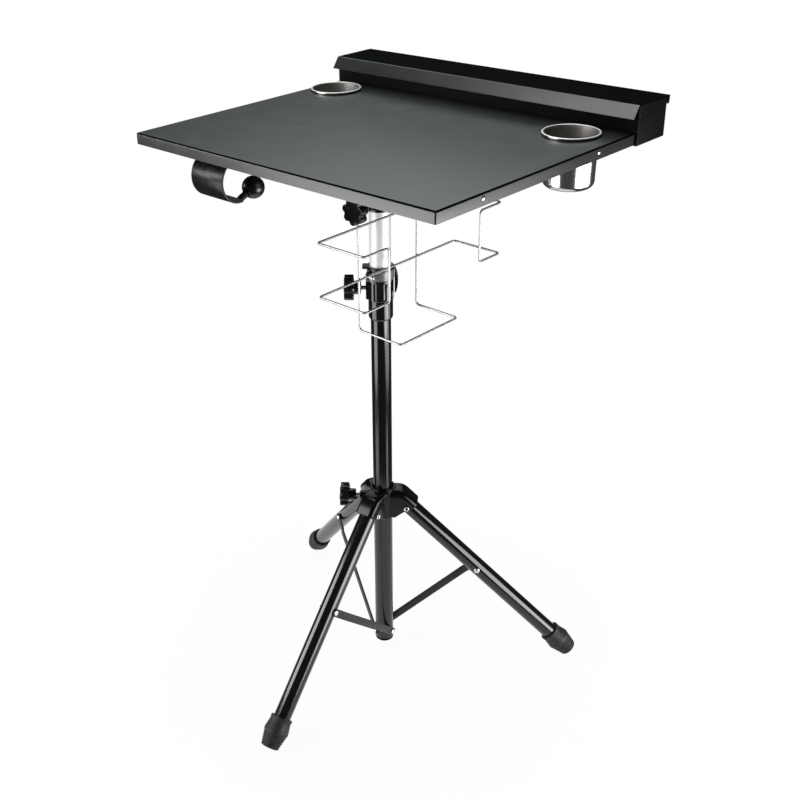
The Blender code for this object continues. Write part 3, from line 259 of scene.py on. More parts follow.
def pulled(name, outline, reach, place):
    """Fills an outline in the XY plane and pulls it up by reach."""
    piece = line(name, [(across, up, 0.0) for across, up in outline], closed=True)
    bpy.ops.mesh.edge_face_add()
    bpy.ops.mesh.extrude_region_move(TRANSFORM_OT_translate={"value": (0.0, 0.0, reach)})
    tidy_faces()
    return settle(piece, place)


def block(name, low, high):
    """Box between two corners."""
    focus(None)
    bpy.ops.mesh.primitive_cube_add(size=1.0, location=(Vector(low) + Vector(high)) / 2)
    piece = named(name)
    piece.scale = Vector(high) - Vector(low)
    bpy.ops.object.transform_apply(location=True, rotation=True, scale=True)
    return piece


def drum(name, radius, low, high, place, sides=FINE_SIDES):
    """A plain round cutter or joining shape along the place's Z."""
    return lathe(name, [(0.0, low), (radius, low), (radius, high), (0.0, high)], place, sides)


def apply(piece, modifier):
    focus(piece)
    bpy.ops.object.modifier_apply(modifier=modifier.name)


def soften(piece, width, segments=2, angle=35.0):
    """Rounds the edges that are sharper than an angle."""
    bevel = piece.modifiers.new("edges", "BEVEL")
    bevel.width = width
    bevel.segments = segments
    bevel.limit_method = "ANGLE"
    bevel.angle_limit = math.radians(angle)
    apply(piece, bevel)
    return piece


def combine(piece, tool, operation):
    boolean = piece.modifiers.new("join", "BOOLEAN")
    boolean.operation = operation
    boolean.object = tool
    boolean.solver = "EXACT"
    apply(piece, boolean)
    bpy.data.objects.remove(tool, do_unlink=True)
    return piece


def carve(piece, tool):
    return combine(piece, tool, "DIFFERENCE")


def weld(piece, tool):
    return combine(piece, tool, "UNION")


def coat(piece, material):
    """Gives a piece one finish."""
    piece.data.materials.clear()
    piece.data.materials.append(material)


def paint(piece, material, test):
    """Gives the faces that pass a test another finish."""
    piece.data.materials.append(material)
    slot = len(piece.data.materials) - 1
    for face in piece.data.polygons:
        if test(face):
            face.material_index = slot


def fasten(piece, node, material, angle=35.0):
    """Smooths a piece up to an angle, finishes it and lets it ride with a CAD node's body."""
    focus(piece)
    bpy.ops.object.shade_smooth_by_angle(angle=math.radians(angle))
    coat(piece, material)
    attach(piece, BODY_OF[node])


def stand_in(piece, node, material, angle=35.0):
    """Lets a finished piece stand for a CAD node, on the node's body."""
    fasten(piece, node, material, angle)
    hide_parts(node)
    return piece


def axes(origin, across, up):
    """A place whose X and Y lie along across and up."""
    across = Vector(across).normalized()
    up = Vector(up).normalized()
    turn = Matrix((across, up, across.cross(up))).transposed().to_4x4()
    return Matrix.Translation(Vector(origin)) @ turn


def sideways(origin):
    """A place whose Z points along the tray's width."""
    return axes(origin, (0.0, 1.0, 0.0), UP)


def upright(x=0.0, y=0.0, z=0.0):
    """A place that stands upright, measured from the mast's axis on the floor."""
    return Matrix.Translation((MAST_X + x, MAST_Y + y, z))


def on_mast(height=0.0):
    """Point on the mast's axis."""
    return Vector((MAST_X, MAST_Y, height))


def heading(azimuth, elevation=0.0):
    """Direction at an azimuth and an elevation."""
    flat = math.cos(elevation)
    return Vector((flat * math.cos(azimuth), flat * math.sin(azimuth), math.sin(elevation)))


def spoke(azimuth):
    """Level directions away from the mast and across that."""
    out = heading(azimuth)
    return out, Vector((-out.y, out.x, 0.0))


def slab(name, outline, half, azimuth):
    """An outline in the upright plane at an azimuth, pulled out to both sides of it."""
    out, side = spoke(azimuth)
    return pulled(name, outline, 2 * half, axes(on_mast() + side * half, out, UP))


def outward(azimuth, height):
    """A place on the mast's axis whose Z points outwards at an azimuth and whose X points down."""
    down = Vector((0.0, 0.0, -1.0))
    return axes(on_mast(height), down, heading(azimuth).cross(down))


def arc(centre, radius, start, end, steps):
    turns = [start + (end - start) * step / steps for step in range(steps + 1)]
    return [(centre[0] + radius * math.cos(turn), centre[1] + radius * math.sin(turn)) for turn in turns]


def feed(tree, node, inputs):
    """Sets or links some of a shader node's inputs."""
    for socket, given in inputs.items():
        if isinstance(given, bpy.types.NodeSocket):
            tree.links.new(given, node.inputs[socket])
        else:
            node.inputs[socket].default_value = given
    return node


def add(tree, kind, **inputs):
    return feed(tree, tree.nodes.new("ShaderNode" + kind), inputs)


def reckon(tree, kind, operation, *terms):
    """Adds a node that reckons with its terms."""
    node = feed(tree, tree.nodes.new("ShaderNode" + kind), dict(enumerate(terms)))
    node.operation = operation
    return node


def noise(tree, source, scale, detail=3.0):
    return add(tree, "TexNoise", Vector=source, Scale=scale, Detail=detail).outputs["Fac"]


def spread(tree, source, bounds, values):
    """Turns one range of values into another."""
    span = {"From Min": bounds[0], "From Max": bounds[1], "To Min": values[0], "To Max": values[1]}
    return add(tree, "MapRange", Value=source, **span).outputs["Result"]


def tint(tree, source, bounds, colours):
    """Turns a range of values into a range of colours."""
    ramp = add(tree, "ValToRGB", Fac=source)
    for index, colour in enumerate(colours):
        stop = ramp.color_ramp.elements[index]
        stop.position = bounds[index]
        stop.color = (*colour, 1.0)
    return ramp.outputs["Color"]


def finish(
        name, dark, light, patch, rough, grain, depth,
        metal=0.0, specular=0.5, stretch=(1.0, 1.0, 1.0)):
    """Mottled colour and roughness over a fine grain; stretch draws the grain out along an axis."""
    pattern = (0.3, 0.7)
    smear_scale = patch * 3.1
    smear_detail = 5.0
    grain_detail = 2.0
    grain_strength = 0.5
    material = bpy.data.materials.new(name)
    material.use_nodes = True
    tree = material.node_tree
    where = add(tree, "TexCoord").outputs["Object"]
    along = add(tree, "Mapping", Vector=where, Scale=stretch).outputs["Vector"]
    smear = noise(tree, along, smear_scale, smear_detail)
    relief = noise(tree, along, grain, grain_detail)
    bump = add(tree, "Bump", Strength=grain_strength, Distance=depth, Height=relief)
    feed(tree, tree.nodes["Principled BSDF"], {
        "Metallic": metal,
        "Specular IOR Level": specular,
        "Base Color": tint(tree, noise(tree, where, patch), pattern, (dark, light)),
        "Roughness": spread(tree, smear, pattern, rough),
        "Normal": bump.outputs["Normal"],
    })
    return material


PLASTIC = ((0.004, 0.004, 0.0042), (0.006, 0.006, 0.0062))
# Satin coat of the tray and rails; also painted on the lid's lip as its lighter, lit side.
SATIN_AND_LIT_LIP = finish(
    "satin_coat_and_lit_lip", (0.014, 0.0155, 0.016), (0.017, 0.0185, 0.019),
    patch=9, rough=(0.28, 0.32), grain=1500, depth=0.00004, specular=0.8)
# Near-black, nearly unreflecting coat: painted shade on the lid's top and a painted dark line along the
# tray's fold.
SHADE_BLACK = finish(
    "painted_shade_black", (0.0018, 0.0020, 0.0020), (0.0026, 0.0028, 0.0028),
    patch=12, rough=(0.46, 0.54), grain=1500, depth=0.00010, specular=0.004)
WALL_BLACK = finish(
    "satin_black_coat", (0.004, 0.0042, 0.0042), (0.006, 0.0063, 0.0063),
    patch=12, rough=(0.40, 0.48), grain=1500, depth=0.00004, specular=0.06)
GLOSS = finish(
    "gloss_black_enamel", (0.003, 0.003, 0.0031), (0.004, 0.004, 0.0041),
    patch=14, rough=(0.10, 0.13), grain=260, depth=0.000004, specular=0.55)
BRACE = finish(
    "dark_bar_coat", (0.008, 0.0085, 0.008), (0.014, 0.0145, 0.014),
    patch=30, rough=(0.35, 0.52), grain=1100, depth=0.00012, specular=0.3)
BAND = finish(
    "grey_band_steel", (0.15, 0.15, 0.147), (0.22, 0.22, 0.215),
    patch=60, rough=(0.30, 0.42), grain=1100, depth=0.00008, metal=0.4)
MOULDED = finish(
    "moulded_black_plastic", *PLASTIC,
    patch=40, rough=(0.24, 0.34), grain=2400, depth=0.00006, specular=0.012)
GLAZED = finish(
    "shiny_black_plastic", *PLASTIC,
    patch=40, rough=(0.09, 0.14), grain=700, depth=0.00001)
CAST = finish(
    "black_hub_coat", (0.002, 0.002, 0.0021), (0.003, 0.003, 0.0031),
    patch=40, rough=(0.12, 0.17), grain=500, depth=0.00002, specular=0.22)
HOOK_BLACK = finish(
    "black_hook_coat", (0.004, 0.004, 0.0042), (0.008, 0.008, 0.0083),
    patch=70, rough=(0.20, 0.40), grain=120, depth=0.00030, specular=0.22)
BALL = finish(
    "black_ball_plastic", *PLASTIC,
    patch=40, rough=(0.24, 0.30), grain=700, depth=0.00001, specular=0.6)
# Pale grey for the hook's lower inside: a painted reflection of the white surround.
PALE_REFLECTION = finish(
    "painted_pale_reflection", (0.50, 0.50, 0.49), (0.66, 0.66, 0.65),
    patch=120, rough=(0.36, 0.50), grain=300, depth=0.00010, metal=0.2)
RUBBER = finish(
    "grey_black_rubber", (0.007, 0.0075, 0.007), (0.016, 0.0165, 0.016),
    patch=60, rough=(0.46, 0.62), grain=900, depth=0.00030, specular=0.35)
SLEEVE = finish(
    "satin_nickel", (0.76, 0.75, 0.745), (0.82, 0.81, 0.805),
    patch=20, rough=(0.42, 0.52), grain=40, depth=0.00001, metal=0.3, stretch=SPUN)
CHROME = finish(
    "bright_chrome", (0.80, 0.80, 0.80), (0.88, 0.88, 0.87),
    patch=20, rough=(0.06, 0.14), grain=700, depth=0.00002, metal=1.0)
WIRE = finish(
    "zinc_plated_wire", (0.43, 0.43, 0.425), (0.49, 0.49, 0.485),
    patch=60, rough=(0.26, 0.34), grain=900, depth=0.000004, metal=0.7)
STEEL = finish(
    "spun_steel", (0.60, 0.595, 0.58), (0.70, 0.695, 0.68),
    patch=22, rough=(0.12, 0.20), grain=40, depth=0.00005, metal=1.0, stretch=SPUN)
# Lighter, rougher steel for the crest of the rolled bead: a painted highlight.
BEAD_HIGHLIGHT = finish(
    "painted_bead_highlight", (0.78, 0.775, 0.76), (0.86, 0.855, 0.84),
    patch=22, rough=(0.38, 0.48), grain=700, depth=0.00003, metal=0.6)
# Darker copy of the spun steel for the cup's inside: painted shade in the hollow.
SHADED_CUP_INSIDE = finish(
    "spun_cup_inside_painted_shade", (0.25, 0.238, 0.22), (0.32, 0.305, 0.282),
    patch=30, rough=(0.50, 0.62), grain=40, depth=0.00008, metal=1.0, stretch=SPUN)
ZINC = finish(
    "bright_zinc", (0.66, 0.66, 0.65), (0.80, 0.80, 0.78),
    patch=160, rough=(0.20, 0.34), grain=2200, depth=0.00005, metal=1.0)


def mirrored(profile, low, high):
    """The same outline upside down between two heights."""
    return [(across, low + high - along) for across, along in profile[::-1]]


def dome(head, base, rise, steps=5):
    """Outline of a rivet's head from its edge to the axis, over a base."""
    edge = rise * 0.25
    crown = rise - edge
    radius = (head * head + crown * crown) / (2 * crown)
    start = math.acos(head / radius)
    return [(head, base)] + arc((0.0, base + rise - radius), radius, start, math.pi / 2, steps)


def rivet(name, shank, head, rise, low, high, place, tail=True):
    """Pin with a domed head beyond high, and one beyond low where it is riveted over."""
    profile = [(0.0, low)]
    if tail:
        profile = mirrored(dome(head, high, rise), low, high)
    profile += [(shank, low), (shank, high)] + dome(head, high, rise)
    return lathe(name, profile, place, SMALL_SIDES)


def hollow_rivet(name, seat, place):
    """Tubular rivet between two cheeks: both ends are rolled over and stay open."""
    bore = RIVET_SHANK - SHEET / 2
    middle = (bore + RIVET_HEAD) / 2
    half = (RIVET_HEAD - bore) / 2
    rise = RIVET_RISE - GAP
    roll = [(RIVET_HEAD, seat)]
    for step in range(STEPS + 1):
        turn = math.pi * step / STEPS
        roll.append((middle + half * math.cos(turn), seat + GAP + rise * math.sin(turn)))
    roll += [(bore, seat - RIVET_SHANK), (0.0, seat - RIVET_SHANK)]
    profile = mirrored(roll, -seat, seat) + [(RIVET_SHANK, -seat), (RIVET_SHANK, seat)] + roll
    return lathe(name, profile, place, SMALL_SIDES)


def rounded_pan(name, low, high, fold):
    """Solid tray shape with one round on its upright corners and all round its top."""
    pan = block(name, low, high)
    top = high.z - GAP
    round_edges(
        pan, lambda one, other: abs(one.z - other.z) > SHEET or min(one.z, other.z) > top, fold, 6)
    return pan


def make_tray():
    """Pan folded from one sheet: a round fold on top, closed corners and two holes for the cups."""
    fold = 0.0025
    shaded_fold_low = 0.35
    shaded_fold_high = 0.93
    hole_low = 0.80
    hole_high = 0.85
    pan = rounded_pan("tray_sheet", TRAY_LOW, TRAY_HIGH, fold)
    inset = Vector((SHEET, SHEET, 0.0))
    hollow_low = TRAY_LOW + inset - UP * SHEET
    hollow_high = TRAY_HIGH - inset - UP * SHEET
    carve(pan, rounded_pan("tray_hollow", hollow_low, hollow_high, fold - SHEET))
    for side in ("left", "right"):
        low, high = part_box("cup_" + side)
        centre = (low + high) / 2
        place = Matrix.Translation((centre.x, centre.y, 0.0))
        carve(pan, drum("cup_hole", CUP_RADIUS + GAP, hole_low, hole_high, place))
    stand_in(pan, "tray_pan", SATIN_AND_LIT_LIP)
    crest = TRAY_HIGH.z - fold
    # Painted shade: the faces of the fold's round get the near-black coat, a painted dark line where the
    # fold would reflect dark.
    paint(pan, SHADE_BLACK, lambda face: face.center.z > crest and shaded_fold_low < face.normal.z < shaded_fold_high)
    for side, turn in (("left", -1), ("right", 1)):
        for end in ("front", "back"):
            node = "rim_rivet_" + side + "_" + end
            low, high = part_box(node)
            place = axes((low + high) / 2, (0.0, turn, 0.0), UP)
            half = (high.x - low.x) / 2 - RIM_RISE
            pin = rivet(node + "_pin", RIM_SHANK, RIM_HEAD, RIM_RISE, -half, half, place)
            stand_in(pin, node, ZINC)


def make_cup(side):
    """Spun beaker with a rolled bead that rests on the tray."""
    low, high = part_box("cup_" + side)
    rim = (high.x - low.x) / 2
    bead = (rim - CUP_RADIUS) / 2
    foot = CUP_RADIUS - 0.0012
    corner = 0.0090
    wall = 0.0009
    neck = CUP_RADIUS - 0.0001
    seat = high.z - bead
    floor = low.z + 0.0006
    ring = foot - corner - 0.003
    dent = foot - corner - 0.004
    turn_centre = (foot - corner, low.z + corner)
    bead_centre = (CUP_RADIUS + bead, seat)
    profile = [(0.0, floor), (dent, floor), (ring, low.z)]
    profile += arc(turn_centre, corner, -math.pi / 2, 0.0, STEPS)
    profile += [(neck, seat - bead)]
    profile += arc(bead_centre, bead, -math.pi * 0.6, math.pi * 0.5, 10)
    profile += arc(bead_centre, bead, math.pi * 0.6, math.pi * 0.9, 3)
    profile += [(CUP_RADIUS - wall, seat - bead)]
    profile += arc(turn_centre, corner - wall, 0.0, -math.pi / 2, STEPS)
    profile += [(0.0, floor + wall)]
    place = Matrix.Translation(((low.x + high.x) / 2, (low.y + high.y) / 2, 0.0))
    cup = stand_in(lathe("beaker_" + side, profile, place, CUP_SIDES), "cup_" + side, STEEL)

    def within(face):
        out = face.center - place.translation
        out.z = 0.0
        return face.normal.dot(out) < 0 or (face.normal.z > 0.5 and out.length < CUP_RADIUS - wall / 2)

    # Painted shade: the inner wall and floor of the cup get the darker steel.
    paint(cup, SHADED_CUP_INSIDE, within)
    # Painted highlight: the upward faces of the bead's crest get the lighter steel, the rest stays
    # darker.
    paint(cup, BEAD_HIGHLIGHT, lambda face: face.center.z > seat and face.normal.z > 0.5)


def make_box():
    """Open box along the tray's back edge, with the rivet in its end."""
    corner = 0.0008
    rivet_in = 0.0050
    rivet_up = 0.0224
    shell = block("box_walls", BOX_LOW, Vector((BOX_HIGH.x, BOX_BACK, BOX_HIGH.z)))
    base = BOX_LOW.z + SHEET
    round_edges(
        shell, lambda one, other: abs(one.z - other.z) > SHEET or max(one.z, other.z) < base, corner, 3)
    inset = Vector((SHEET, SHEET, SHEET))
    room_high = Vector((BOX_HIGH.x - SHEET, BOX_BACK - SHEET, BOX_HIGH.z + SHEET))
    carve(shell, block("box_room", BOX_LOW + inset, room_high))
    place = sideways((BOX_HIGH.x - BOX_RIVET_RISE, BOX_LOW.y + rivet_in, TRAY_HIGH.z + rivet_up))
    carve(shell, drum("rivet_seat", BOX_RIVET_HEAD + GAP, 0.0, SHEET, place, SMALL_SIDES))
    stand_in(shell, "box_shell", WALL_BLACK)
    head = rivet("box_end_rivet", BOX_RIVET_SHANK, BOX_RIVET_HEAD, BOX_RIVET_RISE, -SHEET, 0.0, place)
    fasten(head, "box_shell", BRACE)


def make_lid():
    """Lid with its sloping lip, the hinge barrels on lid and box, and the pin through them."""
    crease_round = 0.0011
    edge_round = 0.00025
    top = LID_HIGH.z
    back = LID_HIGH.y
    front = LID_LOW.y
    brow = front + LIP_REACH
    drop = top - LIP_DROP
    slope = math.hypot(LIP_REACH, LIP_DROP)
    under = Vector((LIP_DROP, LIP_REACH)) / slope * SHEET
    crease = brow + SHEET * math.tan(math.atan2(LIP_DROP, LIP_REACH) / 2)
    outline = [
        (back, HINGE_Z), (back, top), (brow, top), (front, drop),
        (front + under.x, drop - under.y), (crease, top - SHEET),
        (back - SHEET, top - SHEET), (back - SHEET, HINGE_Z),
    ]
    lid = pulled("lid_sheet", outline, LID_HIGH.x - LID_LOW.x, sideways((LID_LOW.x, 0.0, 0.0)))

    def top_crease(one, other):
        return abs(one.x - other.x) > SHEET and min(one.z, other.z) > top - GAP

    round_edges(lid, top_crease, crease_round, 4)
    length = (LID_HIGH.x - LID_LOW.x) / HINGE_KNUCKLES
    bore = HINGE_PIN_RADIUS + GAP
    hinge = sideways((0.0, HINGE_Y, HINGE_Z))
    for knuckle in range(HINGE_KNUCKLES):
        start = LID_LOW.x + knuckle * length
        end = start + length
        node = "box_lid"
        if knuckle % 2 == 0:
            node = "box_shell"
            carve(lid, drum("hinge_slot", HINGE_RADIUS + GAP, start - GAP, end + GAP, hinge))
        else:
            start += GAP
            end -= GAP
        ring = [(bore, start), (HINGE_RADIUS, start), (HINGE_RADIUS, end), (bore, end)]
        barrel = lathe("hinge_barrel_%d" % knuckle, ring, hinge, PIN_SIDES, True)
        fasten(barrel, node, WALL_BLACK)
    soften(lid, edge_round, 1, 50.0)
    # Painted light: the lid is one black sheet, but its top gets the near-black, unreflecting coat as
    # painted shade and its sloping lip the lighter satin coat as a painted lit side; its back flange
    # takes the walls' black.
    stand_in(lid, "box_lid", SHADE_BLACK)
    paint(lid, SATIN_AND_LIT_LIP, lambda face: face.normal.y < -0.3)
    paint(lid, WALL_BLACK, lambda face: face.normal.y > 0.5)
    low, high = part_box("lid_hinge_pin")
    pin = [(0.0, low.x), (HINGE_PIN_RADIUS - GAP, low.x), (HINGE_PIN_RADIUS, low.x + GAP)]
    pin += [(HINGE_PIN_RADIUS, high.x - GAP), (HINGE_PIN_RADIUS - GAP, high.x), (0.0, high.x)]
    stand_in(lathe("hinge_wire", pin, hinge, PIN_SIDES), "lid_hinge_pin", BRACE)


def tube(name, radius, wall, low, high, place):
    """Pipe with broken edges at its outer ends."""
    bore = radius - wall
    lip = radius - TUBE_EDGE
    ring = [(bore, low), (lip, low), (radius, low + TUBE_EDGE)]
    ring += [(radius, high - TUBE_EDGE), (lip, high), (bore, high)]
    return lathe(name, ring, place, FINE_SIDES, True)


def upright_tube(name, node, radius, wall, material):
    """Pipe on the mast's axis that stands for a CAD node."""
    low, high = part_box(node)
    stand_in(tube(name, radius, wall, low.z, high.z, upright()), node, material)


def make_mast():
    """Outer tube with its end plug, the sliding pole and the bright sleeve."""
    upright_tube("mast_pipe", "mast_tube", MAST_RADIUS, TUBE_WALL, GLOSS)
    low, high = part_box("mast_plug")
    cap = MAST_LOW.z - GAP
    fit = MAST_RADIUS - TUBE_WALL - GAP
    corner = 0.002
    plug = [(0.0, low.z)] + arc((MAST_RADIUS - corner, low.z + corner), corner, -math.pi / 2, 0.0, 5)
    plug += [(MAST_RADIUS, cap), (fit, cap), (fit, high.z), (0.0, high.z)]
    stand_in(lathe("mast_end_plug", plug, upright()), "mast_plug", MOULDED)
    upright_tube("inner_pole", "pole", POLE_RADIUS, TUBE_WALL, CHROME)
    upright_tube("bright_sleeve", "pole_sleeve", SLEEVE_RADIUS, SLEEVE_WALL, SLEEVE)


def stud_hole(piece, axis, inner, reach):
    """Bores the hole for a knob's stud along its axis."""
    carve(piece, drum("stud_hole", STUD_RADIUS + GAP, inner, 2 * reach, axis, SMALL_SIDES))


def make_socket():
    """Plate and flared boss under the tray, with a threaded boss whose axis it returns."""
    low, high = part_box("tray_socket")
    under = high.z - 0.003
    corner = 0.004
    lip = 0.0011
    near = (low.x, MAST_Y - SOCKET_HALF_DEPTH, under)
    far = (high.x, MAST_Y + SOCKET_HALF_DEPTH, high.z)
    plate = block("socket_plate", near, far)
    round_edges(plate, lambda one, other: abs(one.z - other.z) > SHEET, corner, 5)
    wide = SOCKET_RADIUS + SOCKET_FLARE
    profile = [(0.0, under + SHEET), (wide, under + SHEET), (wide, under)]
    profile += arc((wide, under - SOCKET_FLARE), SOCKET_FLARE, math.pi / 2, math.pi, STEPS)[1:]
    profile += arc((SOCKET_RADIUS - lip, low.z + lip), lip, 0.0, -math.pi / 2, 4)
    profile += [(0.0, low.z)]
    weld(plate, lathe("socket_boss", profile, upright()))
    axis = outward(TRAY_KNOB_AZIMUTH, TRAY_KNOB_HEIGHT)
    weld(plate, drum("socket_nut", SOCKET_BOSS_RADIUS, MAST_RADIUS, SOCKET_BOSS_REACH, axis, BOSS_SIDES))
    carve(plate, drum("socket_bore", SLEEVE_RADIUS + GAP, low.z - SHEET, under, upright()))
    stud_hole(plate, axis, POLE_RADIUS, SOCKET_BOSS_REACH)
    soften(plate, 0.0004, 2, 50.0)
    stand_in(plate, "tray_socket", GLOSS)
    return axis


def make_knob(name, axis, tip, boss_end):
    """Star knob with seven square lobes and a dished cap, on a threaded stud."""
    lobe_round = 0.0012
    boss_edge = 0.0008
    boss_flare = 0.0015
    dish_depth = 0.0008
    dish_radius = 0.0086
    dish_rim = 0.0094
    dish_over = 0.0004
    seat = boss_end + STUD_SHOWS
    head = seat + KNOB_BOSS
    face = head + KNOB_HEAD
    steps = KNOB_LOBES * 20
    outline = []
    for step in range(steps):
        turn = 2 * math.pi * step / steps
        radius = KNOB_RADIUS - KNOB_NOTCH * ((1 - math.cos(KNOB_LOBES * turn)) / 2) ** 2
        outline.append((radius * math.cos(turn), radius * math.sin(turn)))
    knob = pulled("star_knob_" + name, outline, KNOB_HEAD, Matrix.Translation((0.0, 0.0, head)))
    soften(knob, lobe_round, 3, 50.0)
    collar = [(0.0, seat), (KNOB_BOSS_RADIUS - boss_edge, seat), (KNOB_BOSS_RADIUS, seat + boss_edge)]
    collar += [(KNOB_BOSS_RADIUS, head - boss_flare), (KNOB_BOSS_RADIUS + boss_flare, head + 0.0005)]
    collar += [(0.0, head + 0.001)]
    weld(knob, lathe("knob_boss", collar, Matrix.Identity(4), BOSS_SIDES))
    dish = [(0.0, face - dish_depth), (dish_radius, face - dish_depth)]
    dish += [(dish_rim, face + dish_over), (0.0, face + dish_over)]
    carve(knob, lathe("knob_dish", dish, Matrix.Identity(4), BOSS_SIDES))
    stand_in(settle(knob, axis), "knob_" + name, MOULDED, 40.0)
    along = axis.to_3x3() @ UP
    paint(knob, GLAZED, lambda side: abs(side.normal.dot(along)) < 0.97)
    end = seat - GAP
    turns = int((end - tip) / THREAD_PITCH)
    pitch = (end - tip) / turns
    thread = [(0.0, tip), (STUD_RADIUS - THREAD_DEPTH, tip)]
    for turn in range(turns):
        thread.append((STUD_RADIUS, tip + pitch * (turn + 0.5)))
        thread.append((STUD_RADIUS - THREAD_DEPTH, tip + pitch * (turn + 1)))
    thread.append((0.0, end))
    stand_in(lathe("screw_" + name, thread, axis, SMALL_SIDES), "stud_" + name, ZINC, 20.0)


def make_collar():
    """Moulded collar with fluted sides, thin wing, hooked lug and an ear whose axis it returns."""
    low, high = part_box("mast_collar")
    bottom = low.z
    top = high.z
    ribs_low = bottom + 0.0282
    neck_low = bottom + 0.0586
    neck_top = top - 0.0037
    seat = top - 0.0075
    roof = MAST_HIGH.z + GAP
    rib = COLLAR_RADIUS + 0.0010
    rim_edge = 0.001
    rim_under = 0.0004
    pole_bore = POLE_RADIUS + GAP
    seat_bore = SLEEVE_RADIUS + GAP
    profile = [(COLLAR_BORE, bottom), (COLLAR_RADIUS - 0.0013, bottom), (COLLAR_RADIUS, bottom + 0.0026)]
    profile += [(COLLAR_RADIUS, ribs_low), (rib, ribs_low + 0.0016), (rib, neck_low - 0.001)]
    profile += [(COLLAR_RADIUS, neck_low), (COLLAR_RADIUS, neck_top), (COLLAR_RIM - rim_under, neck_top)]
    profile += [(COLLAR_RIM, neck_top + rim_under), (COLLAR_RIM, top - rim_edge)]
    profile += [(COLLAR_RIM - rim_edge, top), (seat_bore, top), (seat_bore, seat)]
    profile += [(pole_bore, seat), (pole_bore, roof), (COLLAR_BORE, roof)]
    collar = lathe("height_collar", profile, upright(), COLLAR_SIDES, True)
    flute_radius = 0.0042
    flute_out = rib + 0.0030
    flute = [(0.0, ribs_low - 0.002)]
    flute += arc((0.0, ribs_low + 0.004), flute_radius, -math.pi / 2, 0.0, 6)[1:]
    flute += [(flute_radius, neck_low - 0.004), (0.0, neck_low + 0.0005)]
    for step in range(COLLAR_RIBS):
        turn = COLLAR_KNOB_AZIMUTH + (step + 0.5) * 2 * math.pi / COLLAR_RIBS
        place = upright(flute_out * math.cos(turn), flute_out * math.sin(turn))
        carve(collar, lathe("collar_flute", flute, place, SMALL_SIDES))
    axis = outward(COLLAR_KNOB_AZIMUTH, COLLAR_KNOB_HEIGHT)
    half = 0.0070
    ear_rise = 0.0150
    ear_root = 0.0156
    ear = block("collar_ear", (-ear_rise, -half, ear_root), (ear_rise, half, COLLAR_EAR_REACH))
    soften(ear, 0.0013, 3)
    weld(collar, settle(ear, axis))
    thin = 0.00185
    wing_root = 0.0162
    wing_reach = COLLAR_EAR_REACH + 0.0045
    wing = block("collar_wing", (-thin, -half, wing_root), (thin, half, wing_reach))
    soften(wing, 0.0007)
    weld(collar, settle(wing, outward(COLLAR_KNOB_AZIMUTH, top - thin)))
    root = COLLAR_RIM - rim_edge
    clear = COLLAR_RADIUS + BAND_SHEET + 3 * GAP
    lug_tip = clear + 0.0016
    lug_steps = 12
    lug_half = 0.006
    outline = [(clear, top - LUG_DROP), (clear, neck_top + GAP), (root, neck_top + GAP)]
    for step in range(lug_steps + 1):
        share = step / lug_steps
        swell = 4 * LUG_BULGE * share * (1 - share)
        outline.append((root + (lug_tip - root) * share + swell, top - LUG_DROP * share))
    lug = slab("collar_lug", outline, lug_half, COLLAR_KNOB_AZIMUTH - math.pi)
    soften(lug, 0.0004)
    weld(collar, lug)
    stud_hole(collar, axis, POLE_RADIUS, COLLAR_EAR_REACH)
    stand_in(collar, "mast_collar", GLAZED, 18.0)
    return axis


def make_band():
    """Split clamp band round the collar's neck and the bolt through its ears."""
    low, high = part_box("collar_band")
    inner = COLLAR_RADIUS + GAP
    outer = inner + BAND_SHEET
    near = 0.0030
    far = near + BAND_SHEET
    ear_reach = 0.0075
    reach = outer + ear_reach
    half = far / outer
    meet = math.sqrt(inner * inner - near * near)
    outline = arc((0.0, 0.0), outer, half, 2 * math.pi - half, FINE_SIDES)
    outline += [(reach, -far), (reach, -near), (meet, -near)]
    outline += arc((0.0, 0.0), inner, 2 * math.pi - half, half, FINE_SIDES)
    outline += [(meet, near), (reach, near), (reach, far)]
    out, side = spoke(BAND_AZIMUTH)
    band = pulled("clamp_band", outline, high.z - low.z, axes(on_mast(low.z), out, side))

    def ear_corner(one, other):
        across = one - other
        nearer = min((one - on_mast()).dot(out), (other - on_mast()).dot(out))
        return abs(across.z) < GAP and abs(across.dot(side)) > SHEET and nearer > reach - GAP

    round_edges(band, ear_corner, 0.0030, 4)
    soften(band, 0.0002, 1, 50.0)
    stand_in(band, "collar_band", BAND)
    place = axes(on_mast((low.z + high.z) / 2) + out * (outer + ear_reach / 2), UP, out)
    seat = far + GAP
    shank = 0.0020
    head = 0.0034
    bolt = rivet("clamp_bolt", shank, head, head, -seat, seat, place)
    stand_in(bolt, "collar_band_bolt", ZINC)


def leg_point(along, across):
    """Point in a leg's upright plane: along the leg from its pivot, and across to its upper side."""
    out = PIVOT_RADIUS + along * math.sin(LEG_TILT) + across * math.cos(LEG_TILT)
    return out, PIVOT_HEIGHT - along * math.cos(LEG_TILT) + across * math.sin(LEG_TILT)


